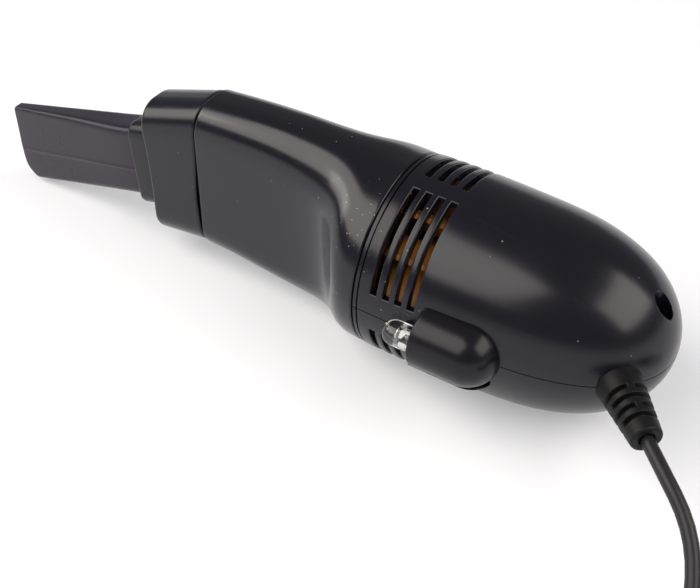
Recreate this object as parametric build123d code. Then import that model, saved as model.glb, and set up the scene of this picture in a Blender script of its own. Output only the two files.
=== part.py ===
from build123d import *
import os
from math import acos, asin, cos, degrees, pi, radians, sin, sqrt, tan

# A small bus-powered vacuum cleaner for keyboards: a round motor housing, a flat tapering neck with a
# cap, a smoky soft nozzle that droops forward, a clear lamp beside the vents, and a thin lead that ends
# in a flat plug. Lengths are in millimetres.
#
# Every piece on the body is drawn in the body's own frame: x = 0 at the joint ring, +X along the motor
# axis to the rear, +Z square to the split between the two shells. settle() then lays the body on the
# table, where it rests on its belly and on the nozzle's lower lip.

# Motor housing
WALL = 1.6
RING_R = 20.2            # outer radius at the joint ring
BELLY_R = RING_R + 0.13  # widest, a little behind the ring
SHOULDER_R = RING_R - 1.28
HOUSING_LENGTH = 56.8
SPLIT_GAP = 0.1
RIM_STEP = 0.25          # shallow step behind the joint ring
RIM_LENGTH = 1.5
SPIGOT_LENGTH = 3.4
SPIGOT_CLEARANCE = 0.3
SPIGOT_WALL = 1.4

# Body frame to table frame
REST_X = 15.0            # belly contact, behind the joint ring
REST_DROP = RING_R - 0.2 # motor axis above the table at the belly contact
PITCH = 1.6              # nose up, degrees

# Front housing: neck and shoulder
NECK_START = -46.2       # seam between cap and neck
NECK_HALF = 7.6
NECK_TOP = RING_R
NECK_BOTTOM = 3.8 - RING_R
KEY_WIDTH = 1.6
KEY_DEPTH = 1.2

# Cap and nozzle
CAP_LENGTH = 13.6
CAP_TOP = NECK_TOP - 4.6   # height of the cap's front edge over the motor axis
CAP_BOTTOM = NECK_BOTTOM - 1.4
CAP_INSET = 0.3          # the neck's rim stands proud of the cap
CAP_TONGUE = 4.0
TONGUE_WALL = 1.1
TONGUE_CLEARANCE = 0.25
SEAM_GAP = 0.35
DROOP = 15.0             # nozzle axis below the motor axis, degrees
NOZZLE_TILT = 5.5        # planes of the collar and of the mouth, degrees
NOZZLE_RISE = -0.6       # nozzle axis over the motor axis at the cap's front face
COLLAR_HALF = 5.6
COLLAR_HEIGHT = 10.4
COLLAR_OUT = 6.8
COLLAR_IN = 9.0
COLLAR_WALL = 1.1
COLLAR_CLEARANCE = 0.3
NOZZLE_REACH = 48.8      # mouth centre from the cap's front face, along the nozzle
NOZZLE_ROOT_HALF = 4.4
NOZZLE_ROOT_HEIGHT = 8.7
MOUTH_HALF = 2.7
MOUTH_HEIGHT = 10.0
NOZZLE_WALL = 0.9
NOZZLE_TAIL = 5.0        # length glued inside the collar
GLUE_GAP = 0.05

# Vents
SLOT_COUNT = 4
SLOT_FIRST = 4.5
SLOT_PITCH = 2.65
SLOT_WIDTH = 1.25
SLOT_SPANS = [(104, 167.5), (29, 92.6), (-167.5, -104), (-92.6, -29)]

# Lamp
LAMP_R = 2.5
LAMP_FLANGE_R = 2.9
LAMP_FLANGE = 1.0
LAMP_Y = -RING_R - 1.8
LAMP_TIP = 8.4
LAMP_END = 15.6
LAMP_CLEARANCE = 0.1
LEAD_PITCH = 2.54
LEAD_SIZE = 0.5
COWL_R = 6.5
COWL_Y = 1.1 - RING_R
COWL_START = 15.0
COWL_END = 31.0
COWL_WALL = 1.3
COWL_EDGE = -6.1         # lower edge of the cowl
PAD_R = 7.4
PAD_Y = 2.6 - RING_R
PAD_Z = -0.6

# Fan and filter
FAN_R = RING_R - 3.8
FAN_PLATE = 1.1
FAN_BACK = 13.0
BLADE_COUNT = 12
BLADE_FRONT = 3.2
BLADE_ROOT_R = 7.0
BLADE_THICK = 1.0
HUB_R = 3.4
HUB_FRONT = 5.0
INLET_R = 8.5
INLET_THICK = 1.4
FILTER_BAR = 1.4
FILTER_RIM = 2.0
FILTER_DOME = 5.5
CLOTH_THICK = 0.5
SEAT_GAP = 0.2

# Motor
MOTOR_R = 10.2
MOTOR_FRONT = 17.2
MOTOR_REAR = 42.0
CAN_WALL = 1.1
MOUNT_THICK = 1.6
MOUNT_GAP = 0.25
SHAFT_R = 1.0
SHAFT_REAR = 45.2
BUSH_R = 2.6
BUSH_LENGTH = 3.0
BUSH_CLEARANCE = 0.03
MAGNET_THICK = 1.3
AIR_GAP = 0.5
STACK_LENGTH = 12.0
POLE_COUNT = 3
SHOE_THICK = 1.1
TAB_END = 45.2           # rear ends of the motor's terminals
COMMUTATOR_R = 2.7
COMMUTATOR_LENGTH = 3.4
MOTOR_SCREW_R = 1.0
MOTOR_SCREW_Y = 6.0
BRUSH_Y = 6.4
BRUSH_HALF = 1.2         # half the width of a brush tab
POLE_HALF = 2.3          # half the width of a wound pole
RIB = 1.4
RIB_OPENING = 7.0        # the cradle ribs stop this far from the split, for the wires

# Rear screw
SCREW_X = HOUSING_LENGTH - 4.5
SCREW_R = 0.95
SCREW_HEAD_R = 1.75
SCREW_HEAD = 1.3
SCREW_LENGTH = 9.0
SCREW_SEAT = 3.4         # height of the seat under the screw head
SCREW_CLEARANCE = 0.15
BOSS_R = 3.1

# Slide switch on the far side
SWITCH_X = 32.0
SWITCH_LENGTH = 8.6
SWITCH_DEPTH = 3.8
SWITCH_HEIGHT = 3.6
SWITCH_FACE = RING_R - 3.2  # outer face of the switch body
SWITCH_TRAVEL = 2.4
KNOB_LENGTH = 2.6
KNOB_HEIGHT = 2.0
KNOB_TOP = RING_R + 0.2
KNOB_CLEARANCE = 0.25

# Strain relief
RELIEF_X = HOUSING_LENGTH - 5.8  # where its axis meets the shell
RELIEF_Y = -0.599 * RING_R
RELIEF_ANGLE = -47.4     # axis from +X, degrees
RELIEF_R = 4.3
RELIEF_TIP_R = 2.9
RELIEF_LENGTH = 12.8
RELIEF_NECK_R = 2.8
RELIEF_FLANGE_R = 4.0
RELIEF_FLANGE = 1.2
RELIEF_BANDS = 4
BAND_WIDTH = 0.9
BAND_DEPTH = 1.1
BAND_FIRST = 3.4
BAND_PITCH = 2.0
BAND_SPINE = 1.4
RELIEF_BORE = 9.2
RELIEF_CLEARANCE = 0.12  # round the cord in the strain relief

# Lead, coil and plug
CORD_R = 1.3
CORD_REST = CORD_R + 0.05
COIL_TURNS = 5.5         # turns in each of the two layers
COIL_PITCH = 3.1
COIL_LAYER = 3.1
COIL_MEAN_R = 15.3
COIL_REACH = (21.9, -38.0) # start of the coil from the point where the cord is clear of its sleeve
COIL_ANGLE = 220         # where on its circle the coil starts, degrees
CORD_LANDING = 8.0       # straight run on the table before the coil
COIL_TAIL_OUT = 7.0      # the last half turn runs out this far, clear of the plug
WIRE_R = 0.55
PLUG_WIDTH = 11.6
PLUG_THICK = 8.6
PLUG_LENGTH = 24.0
PLUG_TAIL = 7.0
PLUG_SHELL = (12.0, 4.5, 12.4)
PLUG_SHELL_WALL = 0.35

PITCH_COS = cos(radians(PITCH))
PITCH_SIN = sin(radians(PITCH))
parts = {}


def to_table(x, y, z):
    """A point of the body frame, in the table frame."""
    along = x - REST_X
    up = z + REST_DROP
    return (along * PITCH_COS + up * PITCH_SIN, y, up * PITCH_COS - along * PITCH_SIN)


def settle(shape):
    """Lay a piece drawn in the body frame on the table."""
    return Rot(0, PITCH, 0) * Pos(-REST_X, 0, REST_DROP) * shape


def rod(radius, start, end, y=0.0, z=0.0):
    """A cylinder along the motor axis."""
    return Pos((start + end) / 2, y, z) * Rot(0, 90, 0) * Cylinder(radius, end - start)


def tube(outer, inner, start, end):
    return rod(outer, start, end) - rod(inner, start - 1, end + 1)


def block(x0, x1, y0, y1, z0, z1):
    middle = Pos((x0 + x1) / 2, (y0 + y1) / 2, (z0 + z1) / 2)
    return middle * Box(x1 - x0, y1 - y0, z1 - z0)


def upright(radius, x, y, bottom, top):
    """A cylinder square to the split."""
    return Pos(x, y, (bottom + top) / 2) * Cylinder(radius, top - bottom)


# Solids of revolution of the motor housing

def housing_edge():
    """Outer profile of the motor housing, from the ring to the rear tip."""
    points = [(0, RING_R), (9, BELLY_R), (25, RING_R - 0.39), (HOUSING_LENGTH - 21.8, SHOULDER_R)]
    for before_tip, share in [(14.8, 0.8515), (8.8, 0.7153), (4.3, 0.5297), (1.2, 0.2921), (0, 0)]:
        points.append((HOUSING_LENGTH - before_tip, RING_R * share))
    return Spline(*points, tangents=[(1, 0.03), (0, -1)])


def inner_edge(outer, depth, count=14):
    """The profile moved inwards by a wall."""
    points = []
    for step in range(count + 1):
        place = outer @ (step / count)
        along = outer % (step / count)
        points.append((place.X + along.Y * depth, place.Y - along.X * depth))
    points[-1] = (HOUSING_LENGTH - depth, 0)
    return Spline(*points, tangents=[(1, 0.03), (0, -1)])


def spin(edge):
    """The solid that a profile sweeps round the motor axis."""
    start = edge @ 0
    end = edge @ 1
    base = Polyline((end.X, 0), (start.X, 0), (start.X, start.Y))
    return revolve(make_face([edge, *base.edges()]), Axis.X, 360)


# Sections of the neck, the cap and the nozzle

def oval_face(half, top, bottom, corner, place):
    """A rounded rectangle as a face. place(y, z) gives its points in space."""
    corner = min(corner, half - 0.1, (top - bottom) / 2 - 0.1)
    flat, high, low = half - corner, top - corner, bottom + corner
    bow = corner * sqrt(0.5)
    return make_face([
        Line(place(half, low), place(half, high)),
        ThreePointArc(place(half, high), place(flat + bow, high + bow), place(flat, top)),
        Line(place(flat, top), place(-flat, top)),
        ThreePointArc(place(-flat, top), place(-flat - bow, high + bow), place(-half, high)),
        Line(place(-half, high), place(-half, low)),
        ThreePointArc(place(-half, low), place(-flat - bow, low - bow), place(-flat, bottom)),
        Line(place(-flat, bottom), place(flat, bottom)),
        ThreePointArc(place(flat, bottom), place(flat + bow, low - bow), place(half, low)),
    ])


def section(x, half, top, bottom, corner):
    """A closed section across the motor axis."""
    return oval_face(half, top, bottom, corner, lambda y, z: Vector(x, y, z))


NECK_ROWS = [
    # x, half width, top, bottom, corner radius
    (NECK_START, NECK_HALF, NECK_TOP, NECK_BOTTOM, 7.0),
    (-39, NECK_HALF + 0.1, RING_R + 0.55, 3.4 - RING_R, 7.1),
    (-31, NECK_HALF + 0.3, RING_R + 1.0, 2.5 - RING_R, 7.3),
    (-24, NECK_HALF + 0.7, RING_R + 1.2, 1.8 - RING_R, 7.8),
    (-18, NECK_HALF + 1.5, RING_R + 1.2, 1.4 - RING_R, 8.8),
    (-13, NECK_HALF + 3.1, RING_R + 1.1, 1.1 - RING_R, 10.4),
    (-9.5, RING_R - 6.6, RING_R + 0.9, 0.8 - RING_R, RING_R - 6.9),
    (-6.8, RING_R - 3.0, RING_R + 0.6, 0.5 - RING_R, RING_R - 3.3),
    (-4.6, 0.955 * RING_R, RING_R + 0.3, 0.25 - RING_R, 0.94 * RING_R),
    (-2.4, 0.99 * RING_R, RING_R + 0.1, 0.1 - RING_R, 0.985 * RING_R),
    (0, RING_R, RING_R, -RING_R, RING_R),
]


def between_rows(rows, column, x):
    """A value between rows, on a smooth curve that never runs past them."""
    spans = [after[0] - before[0] for before, after in zip(rows, rows[1:])]
    rates = [(after[column] - before[column]) / span for before, after, span in zip(rows, rows[1:], spans)]
    slopes = [rates[0]]
    for before, after in zip(rates, rates[1:]):
        slopes.append(2 * before * after / (before + after) if before * after > 0 else 0)
    slopes.append(rates[-1])
    index = max(step for step in range(len(spans)) if step == 0 or rows[step][0] <= x)
    share = (x - rows[index][0]) / spans[index]
    rise = share**2 * (3 - 2 * share)
    bend = share * (1 - share) * spans[index] * (slopes[index] * (1 - share) - slopes[index + 1] * share)
    return rows[index][column] * (1 - rise) + rows[index + 1][column] * rise + bend


def neck_loft(start, end, inset=0.0, count=16):
    """The neck and shoulder between two places, moved inwards by a wall."""
    faces = []
    for step in range(count + 1):
        x = start + (end - start) * step / count
        half, top, bottom, corner = [between_rows(NECK_ROWS, column, x) for column in (1, 2, 3, 4)]
        faces.append(section(x, half - inset, top - inset, bottom + inset, corner - inset))
    return loft(faces)


def make_housing_solids():
    outer = housing_edge()
    return spin(outer), spin(inner_edge(outer, WALL))


def make_front_housing():
    """Neck and shoulder round the dust chamber, open to the cap and to the fan."""
    bore_r = RING_R - WALL - 0.15
    body = neck_loft(NECK_START, 0)
    body -= neck_loft(NECK_START - 0.5, -SPIGOT_LENGTH, WALL)
    body -= rod(bore_r, -SPIGOT_LENGTH - 0.25, 1)
    for side in (-1, 1):
        body -= block(-KEY_DEPTH, 1, side * RING_R - 2, side * RING_R + 2, -KEY_WIDTH / 2, KEY_WIDTH / 2)
    return body


# Cap, collar and nozzle

NOZZLE_ALONG = Vector(-cos(radians(DROOP)), 0, -sin(radians(DROOP)))
CAP_FRONT = NECK_START - CAP_LENGTH


def nozzle_place(reach):
    """A point on the nozzle's axis, from the cap's front face."""
    return Vector(CAP_FRONT, 0, NOZZLE_RISE) + NOZZLE_ALONG * reach


def nozzle_section(reach, half, height, corner=None):
    """A section across the nozzle, tilted as its mouth is."""
    corner = corner if corner else half * 0.96
    up = Vector(-sin(radians(NOZZLE_TILT)), 0, cos(radians(NOZZLE_TILT)))
    place = nozzle_place(reach)
    return oval_face(half, height, -height, corner, lambda y, z: place + Vector(0, y, 0) + up * z)


def nozzle_prism(start, end, half, height, corner=None):
    """A straight prism along the drooping nozzle axis."""
    return loft([nozzle_section(start, half, height, corner), nozzle_section(end, half, height, corner)])


def cap_section(share, inset):
    """A section of the cap, from the seam (0) to its front face (1)."""
    x = NECK_START - SEAM_GAP - (CAP_LENGTH - SEAM_GAP) * share
    top = NECK_TOP - CAP_INSET + (CAP_TOP - NECK_TOP + CAP_INSET) * share
    bottom = NECK_BOTTOM + CAP_INSET + (CAP_BOTTOM - NECK_BOTTOM - CAP_INSET) * share
    return section(x, NECK_HALF - CAP_INSET - inset, top - inset, bottom + inset, 6.8 - inset)


def make_front_cap():
    body = loft([cap_section(0, 0), cap_section(1, 0)])
    body = fillet(body.faces().sort_by(Axis.X)[0].edges(), 1.0)
    face_share = 1 - WALL / (CAP_LENGTH - SEAM_GAP)
    body -= loft([cap_section(-0.1, WALL), cap_section(face_share, WALL)])
    rim = NECK_START - SEAM_GAP
    fit = WALL + TONGUE_CLEARANCE
    outside = (NECK_HALF - fit, NECK_TOP - fit, NECK_BOTTOM + fit, 5.1)
    inside = (outside[0] - TONGUE_WALL, outside[1] - TONGUE_WALL, outside[2] + TONGUE_WALL, 5.1 - TONGUE_WALL)
    joint = loft([cap_section(0, WALL / 3), cap_section(0.12, WALL / 3)])
    joint += loft([section(rim - 0.5, *outside), section(rim + CAP_TONGUE, *outside)])
    joint -= loft([section(rim - 3, *inside), section(rim + CAP_TONGUE + 1, *inside)])
    body += joint
    gap = COLLAR_CLEARANCE
    sleeve = nozzle_prism(-COLLAR_IN - 0.6, -0.4, COLLAR_HALF + gap + 0.9, COLLAR_HEIGHT + gap + 1.1)
    body += sleeve & loft([cap_section(0.12, 0.6), cap_section(1, 0.6)])
    return body - nozzle_prism(-COLLAR_IN - 3, 3, COLLAR_HALF + gap, COLLAR_HEIGHT + gap)


def make_collar():
    body = nozzle_prism(-COLLAR_IN, COLLAR_OUT, COLLAR_HALF, COLLAR_HEIGHT)
    body = fillet(body.faces().sort_by(Axis.X)[0].edges(), 0.5)
    pocket = nozzle_prism(COLLAR_OUT - NOZZLE_TAIL, COLLAR_OUT + 1,
                          NOZZLE_ROOT_HALF + GLUE_GAP, NOZZLE_ROOT_HEIGHT + GLUE_GAP)
    inner = (COLLAR_HALF - COLLAR_WALL - 1.0, COLLAR_HEIGHT - COLLAR_WALL - 1.6)
    return body - pocket - nozzle_prism(-COLLAR_IN - 1, COLLAR_OUT, *inner)


def nozzle_loft(inset, extra):
    """The nozzle from its glued root to the mouth, moved inwards by a wall."""
    root = (NOZZLE_ROOT_HALF - inset, NOZZLE_ROOT_HEIGHT - inset)
    mouth = (MOUTH_HALF - inset, MOUTH_HEIGHT - inset)
    middle = ((root[0] + mouth[0]) / 2, (root[1] + mouth[1]) / 2)
    start = COLLAR_OUT - NOZZLE_TAIL
    return loft([
        nozzle_section(start - extra, *root),
        nozzle_section(COLLAR_OUT + 2, *root),
        nozzle_section((COLLAR_OUT + NOZZLE_REACH) / 2, *middle),
        nozzle_section(NOZZLE_REACH + extra, *mouth),
    ])


def make_nozzle():
    return nozzle_loft(0, 0) - nozzle_loft(NOZZLE_WALL, 0.5)


# Motor housing shells

def slot_cut(x, start, end):
    """One vent slot: a band of the wall between two angles round the motor axis."""
    profile = Polyline((x - SLOT_WIDTH / 2, RING_R - WALL - 1.5), (x + SLOT_WIDTH / 2, RING_R - WALL - 1.5),
                       (x + SLOT_WIDTH / 2, RING_R + 2), (x - SLOT_WIDTH / 2, RING_R + 2), close=True)
    return Rot(start, 0, 0) * revolve(make_face(profile), Axis.X, end - start)


def capsule(radius, start, end, y, z):
    """A round-ended bar along the motor axis, flat at its front."""
    return rod(radius, start, end - radius, y, z) + Pos(end - radius, y, z) * Sphere(radius)


def relief_frame():
    """Place and direction of the strain relief, x along its axis."""
    return Pos(RELIEF_X, RELIEF_Y, 0) * Rot(0, 0, RELIEF_ANGLE)


def half_space(upper, gap=SPLIT_GAP):
    size = 160
    level = gap / 2 if upper else -gap / 2
    return Pos(0, 0, level + (size / 2 if upper else -size / 2)) * Box(size, size, size)


def make_shell_ring(outer, cavity):
    """Both shells in one piece: wall, spigot, openings and ribs, before they are split."""
    inner_r = RING_R - WALL
    spigot_r = inner_r - 0.15 - SPIGOT_CLEARANCE
    body = outer - cavity
    body -= tube(RING_R + 2, RING_R - RIM_STEP, 0, RIM_LENGTH)
    body += tube(spigot_r, spigot_r - SPIGOT_WALL, -SPIGOT_LENGTH, RIM_LENGTH + 1)
    room = KNOB_LENGTH / 2 + SWITCH_TRAVEL / 2 + KNOB_CLEARANCE
    body -= block(SWITCH_X - room, SWITCH_X + room, SWITCH_FACE - 0.5, RING_R + 1,
                  -KNOB_HEIGHT / 2 - KNOB_CLEARANCE, KNOB_HEIGHT / 2 + KNOB_CLEARANCE)
    body -= relief_frame() * rod(RELIEF_NECK_R + 0.1, -4, 3)
    lead_x = LAMP_END + 4.5
    body -= block(lead_x - 1, lead_x + 1, -RING_R - 1, -inner_r + 1, -LEAD_PITCH, LEAD_PITCH)
    body -= [slot_cut(SLOT_FIRST + SLOT_PITCH * index, start, end)
             for index in range(SLOT_COUNT) for start, end in SLOT_SPANS]
    mount_back = MOTOR_FRONT - MOUNT_GAP / 5
    mount_front = mount_back - MOUNT_THICK
    for start, thick, hole, opening in [
        (MOTOR_FRONT + 5, RIB, MOTOR_R + 0.05, RIB_OPENING),
        (MOTOR_REAR - 6, RIB, MOTOR_R + 0.05, RIB_OPENING),
        (mount_back, RIB, inner_r - 2.2, 0.5),
        (mount_front - 1.0, 1.0, inner_r - 1.2, 0.5),
    ]:
        rib = tube(RING_R - 1, hole, start, start + thick)
        rib -= block(start - 1, start + thick + 1, -inner_r, inner_r, -opening, opening)
        body += rib & outer
    return body


def lamp_bed():
    """Room for the lamp: a trough in the wall for its bulb and a groove for its flange."""
    bed = rod(LAMP_R + LAMP_CLEARANCE, LAMP_TIP - 0.6, LAMP_END, LAMP_Y)
    return bed + rod(LAMP_FLANGE_R + LAMP_CLEARANCE, LAMP_END - LAMP_FLANGE - 0.1, LAMP_END + 0.1, LAMP_Y)


def cowl_solid():
    cowl = capsule(COWL_R, COWL_START, COWL_END, COWL_Y, 0)
    rim = cowl.faces().sort_by(Axis.X)[0].edges()
    return fillet(rim, 0.8)


def cowl_hollow(outer):
    hollow = capsule(COWL_R - COWL_WALL, LAMP_END + 2, COWL_END - COWL_WALL, COWL_Y, 0)
    seat = rod(LAMP_FLANGE_R + LAMP_CLEARANCE, COWL_START - 1, LAMP_END + 0.1, LAMP_Y)
    throat = rod(LAMP_FLANGE_R - 0.6, LAMP_END, LAMP_END + 3, LAMP_Y)
    return (hollow + seat + throat) - outer


def boss_solid(bottom, top, outer):
    return upright(BOSS_R, SCREW_X, 0, bottom, top) & outer


def make_upper_shell(ring, outer, cavity):
    body = ring & half_space(True)
    cowl = cowl_solid()
    above = (cowl & half_space(True)) - cavity
    below = (cowl & block(0, 40, -30, 0, COWL_EDGE, SPLIT_GAP / 2)) - outer
    body += above
    body += below
    body -= cowl_hollow(outer)
    body -= lamp_bed()
    body -= block(LAMP_END + 3.5, LAMP_END + 5.5, -RING_R, -RING_R + WALL + 1, -1, LEAD_PITCH)
    body += boss_solid(SPLIT_GAP / 2, RING_R, outer)
    body -= upright(SCREW_HEAD_R + SCREW_CLEARANCE, SCREW_X, 0, SCREW_SEAT, RING_R)
    return body - upright(SCREW_R + SCREW_CLEARANCE, SCREW_X, 0, -1, RING_R)


def make_lower_shell(ring, outer, cavity):
    body = ring & half_space(False)
    pad = capsule(PAD_R, COWL_START - 1, COWL_END + 1.2, PAD_Y, PAD_Z)
    pad = (pad & block(0, 40, -30, -10, -12, COWL_EDGE - SPLIT_GAP)) - cavity
    body += pad
    body -= lamp_bed()
    body += boss_solid(-RING_R, -SPLIT_GAP / 2, outer)
    body -= upright(SCREW_R, SCREW_X, 0, SCREW_SEAT - SCREW_LENGTH - 0.5, 1)
    half = SWITCH_LENGTH / 2
    shelf = block(SWITCH_X - half - 1.2, SWITCH_X + half + 1.2, SWITCH_FACE - SWITCH_DEPTH, RING_R,
                  -SWITCH_HEIGHT / 2 - 1.3, -SWITCH_HEIGHT / 2)
    for side in (-1, 1):
        end = SWITCH_X + side * (half + 0.65)
        shelf += block(end - 0.6, end + 0.6, SWITCH_FACE - SWITCH_DEPTH, RING_R,
                       -SWITCH_HEIGHT / 2 - 1.3, -SPLIT_GAP / 2)
    body += shelf & outer
    contact = Pos(REST_X, 0, -REST_DROP) * Rot(0, -PITCH, 0) * Pos(0, 0, -10) * Box(60, 30, 20)
    return body - contact


# Fan, filter and inlet

def fan_blade(index):
    """One curved blade between the hub side and the rim."""
    def at(radius, angle, shift=0.0):
        turn = radians(angle + 360 / BLADE_COUNT * index) + shift / radius
        return (0, radius * cos(turn), radius * sin(turn))
    half = BLADE_THICK / 2
    near = ThreePointArc(at(BLADE_ROOT_R, 0, -half), at(12, 9, -half), at(FAN_R, 24, -half))
    far = ThreePointArc(at(FAN_R, 24, half), at(12, 9, half), at(BLADE_ROOT_R, 0, half))
    tip = Line(near @ 1, far @ 0)
    root = Line(far @ 1, near @ 0)
    face = make_face([near, tip, far, root])
    length = FAN_BACK - FAN_PLATE + 0.2 - BLADE_FRONT
    return Pos(BLADE_FRONT, 0, 0) * extrude(face, amount=length, dir=(1, 0, 0))


def make_fan():
    body = rod(FAN_R, FAN_BACK - FAN_PLATE, FAN_BACK)
    for index in range(BLADE_COUNT):
        body += fan_blade(index)
    cone = Pos((HUB_FRONT + FAN_BACK) / 2, 0, 0) * Rot(0, -90, 0) * Cone(HUB_R + 3.2, HUB_R, FAN_BACK - HUB_FRONT)
    body += cone
    return body - rod(SHAFT_R, HUB_FRONT + 1.5, FAN_BACK + 1)


def spigot_inner():
    return RING_R - WALL - 0.15 - SPIGOT_CLEARANCE - SPIGOT_WALL


def make_inlet():
    """Inlet ring in front of the fan, with a short bell mouth."""
    front = 0.2
    body = tube(spigot_inner() - SEAT_GAP, INLET_R, front, front + INLET_THICK)
    return body + tube(INLET_R + 1.0, INLET_R, front, front + INLET_THICK + 1.0)


def make_filter_frame():
    front = -SPIGOT_LENGTH + 0.2
    depth = SPIGOT_LENGTH - 0.2
    outer = spigot_inner() - SEAT_GAP
    body = tube(outer, outer - FILTER_RIM, front, front + depth)
    for turn in (0, 60, 120):
        bar = block(front + 1.0, front + depth, -outer + 1, outer - 1, -FILTER_BAR / 2, FILTER_BAR / 2)
        body += Rot(turn, 0, 0) * bar
    return body


def make_filter_cloth():
    """A shallow dome of cloth in front of the frame's bars."""
    rim = spigot_inner() - SEAT_GAP - FILTER_RIM - 0.1
    base = -SPIGOT_LENGTH + 1.1 - CLOTH_THICK
    radius = (rim**2 + FILTER_DOME**2) / (2 * FILTER_DOME)
    middle = (base - FILTER_DOME + radius, 0)
    opening = degrees(asin(rim / radius))
    outside = CenterArc(middle, radius, 180 - opening, opening)
    inside = CenterArc(middle, radius - CLOTH_THICK, 180 - opening, opening)
    face = make_face([outside, Line(outside @ 1, inside @ 1), inside, Line(inside @ 0, outside @ 0)])
    return revolve(face, Axis.X, 360)


# Motor

def make_mount():
    back = MOTOR_FRONT - 2 * MOUNT_GAP / 5
    front = back - MOUNT_THICK + 2 * MOUNT_GAP / 5
    body = tube(RING_R - WALL - MOUNT_GAP, BUSH_R + 1.0, front, back)
    for side in (-1, 1):
        body -= rod(MOTOR_SCREW_R + 0.1, front - 1, back + 1, side * MOTOR_SCREW_Y)
    return body


def make_motor_can():
    body = rod(MOTOR_R, MOTOR_FRONT, MOTOR_REAR - 1.2)
    body = fillet(body.faces().sort_by(Axis.X)[0].edges(), 0.8)
    body -= rod(MOTOR_R - CAN_WALL, MOTOR_FRONT + CAN_WALL, MOTOR_REAR)
    body += tube(BUSH_R + 0.7, BUSH_R, MOTOR_FRONT - 1.0, MOTOR_FRONT + BUSH_LENGTH - 1.0)
    body -= rod(BUSH_R, MOTOR_FRONT - 2, MOTOR_FRONT + CAN_WALL + 1)
    for side in (-1, 1):
        body -= rod(MOTOR_SCREW_R, MOTOR_FRONT - 1, MOTOR_FRONT + CAN_WALL + 1, side * MOTOR_SCREW_Y)
    return body


def make_end_cap():
    body = tube(MOTOR_R, BUSH_R, MOTOR_REAR - 1.2, MOTOR_REAR + 0.6)
    body += tube(MOTOR_R - CAN_WALL - 0.05, MOTOR_R - CAN_WALL - 1.6, MOTOR_REAR - 2.6, MOTOR_REAR - 1.1)
    body += tube(BUSH_R + 1.2, BUSH_R, MOTOR_REAR - 1.2, MOTOR_REAR + 2.2)
    for side in (-1, 1):
        slot_y = side * BRUSH_Y
        body -= block(MOTOR_REAR - 3, MOTOR_REAR + 2, slot_y - BRUSH_HALF - 0.1, slot_y + BRUSH_HALF + 0.1,
                      -0.35, 0.35)
    return body


def make_bush(start):
    return tube(BUSH_R, SHAFT_R + BUSH_CLEARANCE, start, start + BUSH_LENGTH)


def make_magnets():
    outer = MOTOR_R - CAN_WALL
    ring = tube(outer, outer - MAGNET_THICK, MOTOR_FRONT + 3.5, MOTOR_REAR - 4.5)
    return [ring & block(0, 60, -20, 20, 3.2, 20), ring & block(0, 60, -20, 20, -20, -3.2)]


def stack_limits():
    middle = (MOTOR_FRONT + MOTOR_REAR) / 2 - 1.5
    return middle - STACK_LENGTH / 2, middle + STACK_LENGTH / 2


def make_armature():
    """Three-pole laminated core."""
    start, end = stack_limits()
    radius = MOTOR_R - CAN_WALL - MAGNET_THICK - AIR_GAP
    shoes = tube(radius, radius - SHOE_THICK, start, end)
    core = rod(3.0, start, end)
    for index in range(POLE_COUNT):
        turn = 360 / POLE_COUNT * index
        core += Rot(turn, 0, 0) * block(start, end, 0, radius - 0.6, -1.2, 1.2)
        shoes -= Rot(turn + 180 / POLE_COUNT, 0, 0) * block(start - 1, end + 1, 0, radius + 1, -1.0, 1.0)
    return core + shoes - rod(SHAFT_R, start - 1, end + 1)


def make_windings():
    """One wound coil round each pole."""
    start, end = stack_limits()
    radius = MOTOR_R - CAN_WALL - MAGNET_THICK - AIR_GAP
    coils = []
    for index in range(POLE_COUNT):
        turn = Rot(360 / POLE_COUNT * index, 0, 0)
        limit = sqrt((radius - SHOE_THICK - 0.1) ** 2 - POLE_HALF**2)
        outside = block(start - 1.4, end + 1.4, 3.4, limit, -POLE_HALF, POLE_HALF)
        coils.append(turn * (outside - block(start - 0.05, end + 0.05, 3, radius, -1.25, 1.25)))
    return coils


def make_commutator():
    start = stack_limits()[1] + 1.8
    ring = tube(COMMUTATOR_R, SHAFT_R, start, start + COMMUTATOR_LENGTH)
    for index in range(POLE_COUNT):
        cut = block(start - 1, start + COMMUTATOR_LENGTH + 1, COMMUTATOR_R - 0.6, COMMUTATOR_R + 1, -0.2, 0.2)
        ring -= Rot(360 / POLE_COUNT * index, 0, 0) * cut
    return ring


def brush_start():
    return stack_limits()[1] + 1.8 + COMMUTATOR_LENGTH / 2


def make_brushes():
    """Two leaf brushes on the terminals that come out through the end cap."""
    leaves = []
    for side in (-1, 1):
        middle = side * BRUSH_Y
        tab = block(brush_start() - 1.2, TAB_END, middle - BRUSH_HALF, middle + BRUSH_HALF, -0.3, 0.3)
        near, far = sorted((side * (COMMUTATOR_R + 0.05), middle))
        leaf = block(brush_start() - 1.2, brush_start() + 1.2, near, far, -0.3, 0.3)
        leaves.append(tab + leaf)
    return leaves


def make_motor_screws():
    screws = []
    seat = MOTOR_FRONT - MOUNT_THICK
    for side in (-1, 1):
        y = side * MOTOR_SCREW_Y
        head = rod(1.8, seat - 1.1, seat, y)
        shank = rod(MOTOR_SCREW_R - 0.05, seat, MOTOR_FRONT + 2.0, y)
        slot = block(seat - 2, seat - 0.6, y - 0.25, y + 0.25, -1.3, 1.3)
        cross = block(seat - 2, seat - 0.6, y - 1.3, y + 1.3, -0.25, 0.25)
        screws.append(head + shank - slot - cross)
    return screws


# Lamp, switch, screw and strain relief

def make_lamp():
    body = rod(LAMP_R, LAMP_TIP + LAMP_R, LAMP_END, LAMP_Y)
    body += Pos(LAMP_TIP + LAMP_R, LAMP_Y, 0) * Sphere(LAMP_R)
    return body + rod(LAMP_FLANGE_R, LAMP_END - LAMP_FLANGE, LAMP_END, LAMP_Y)


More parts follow.
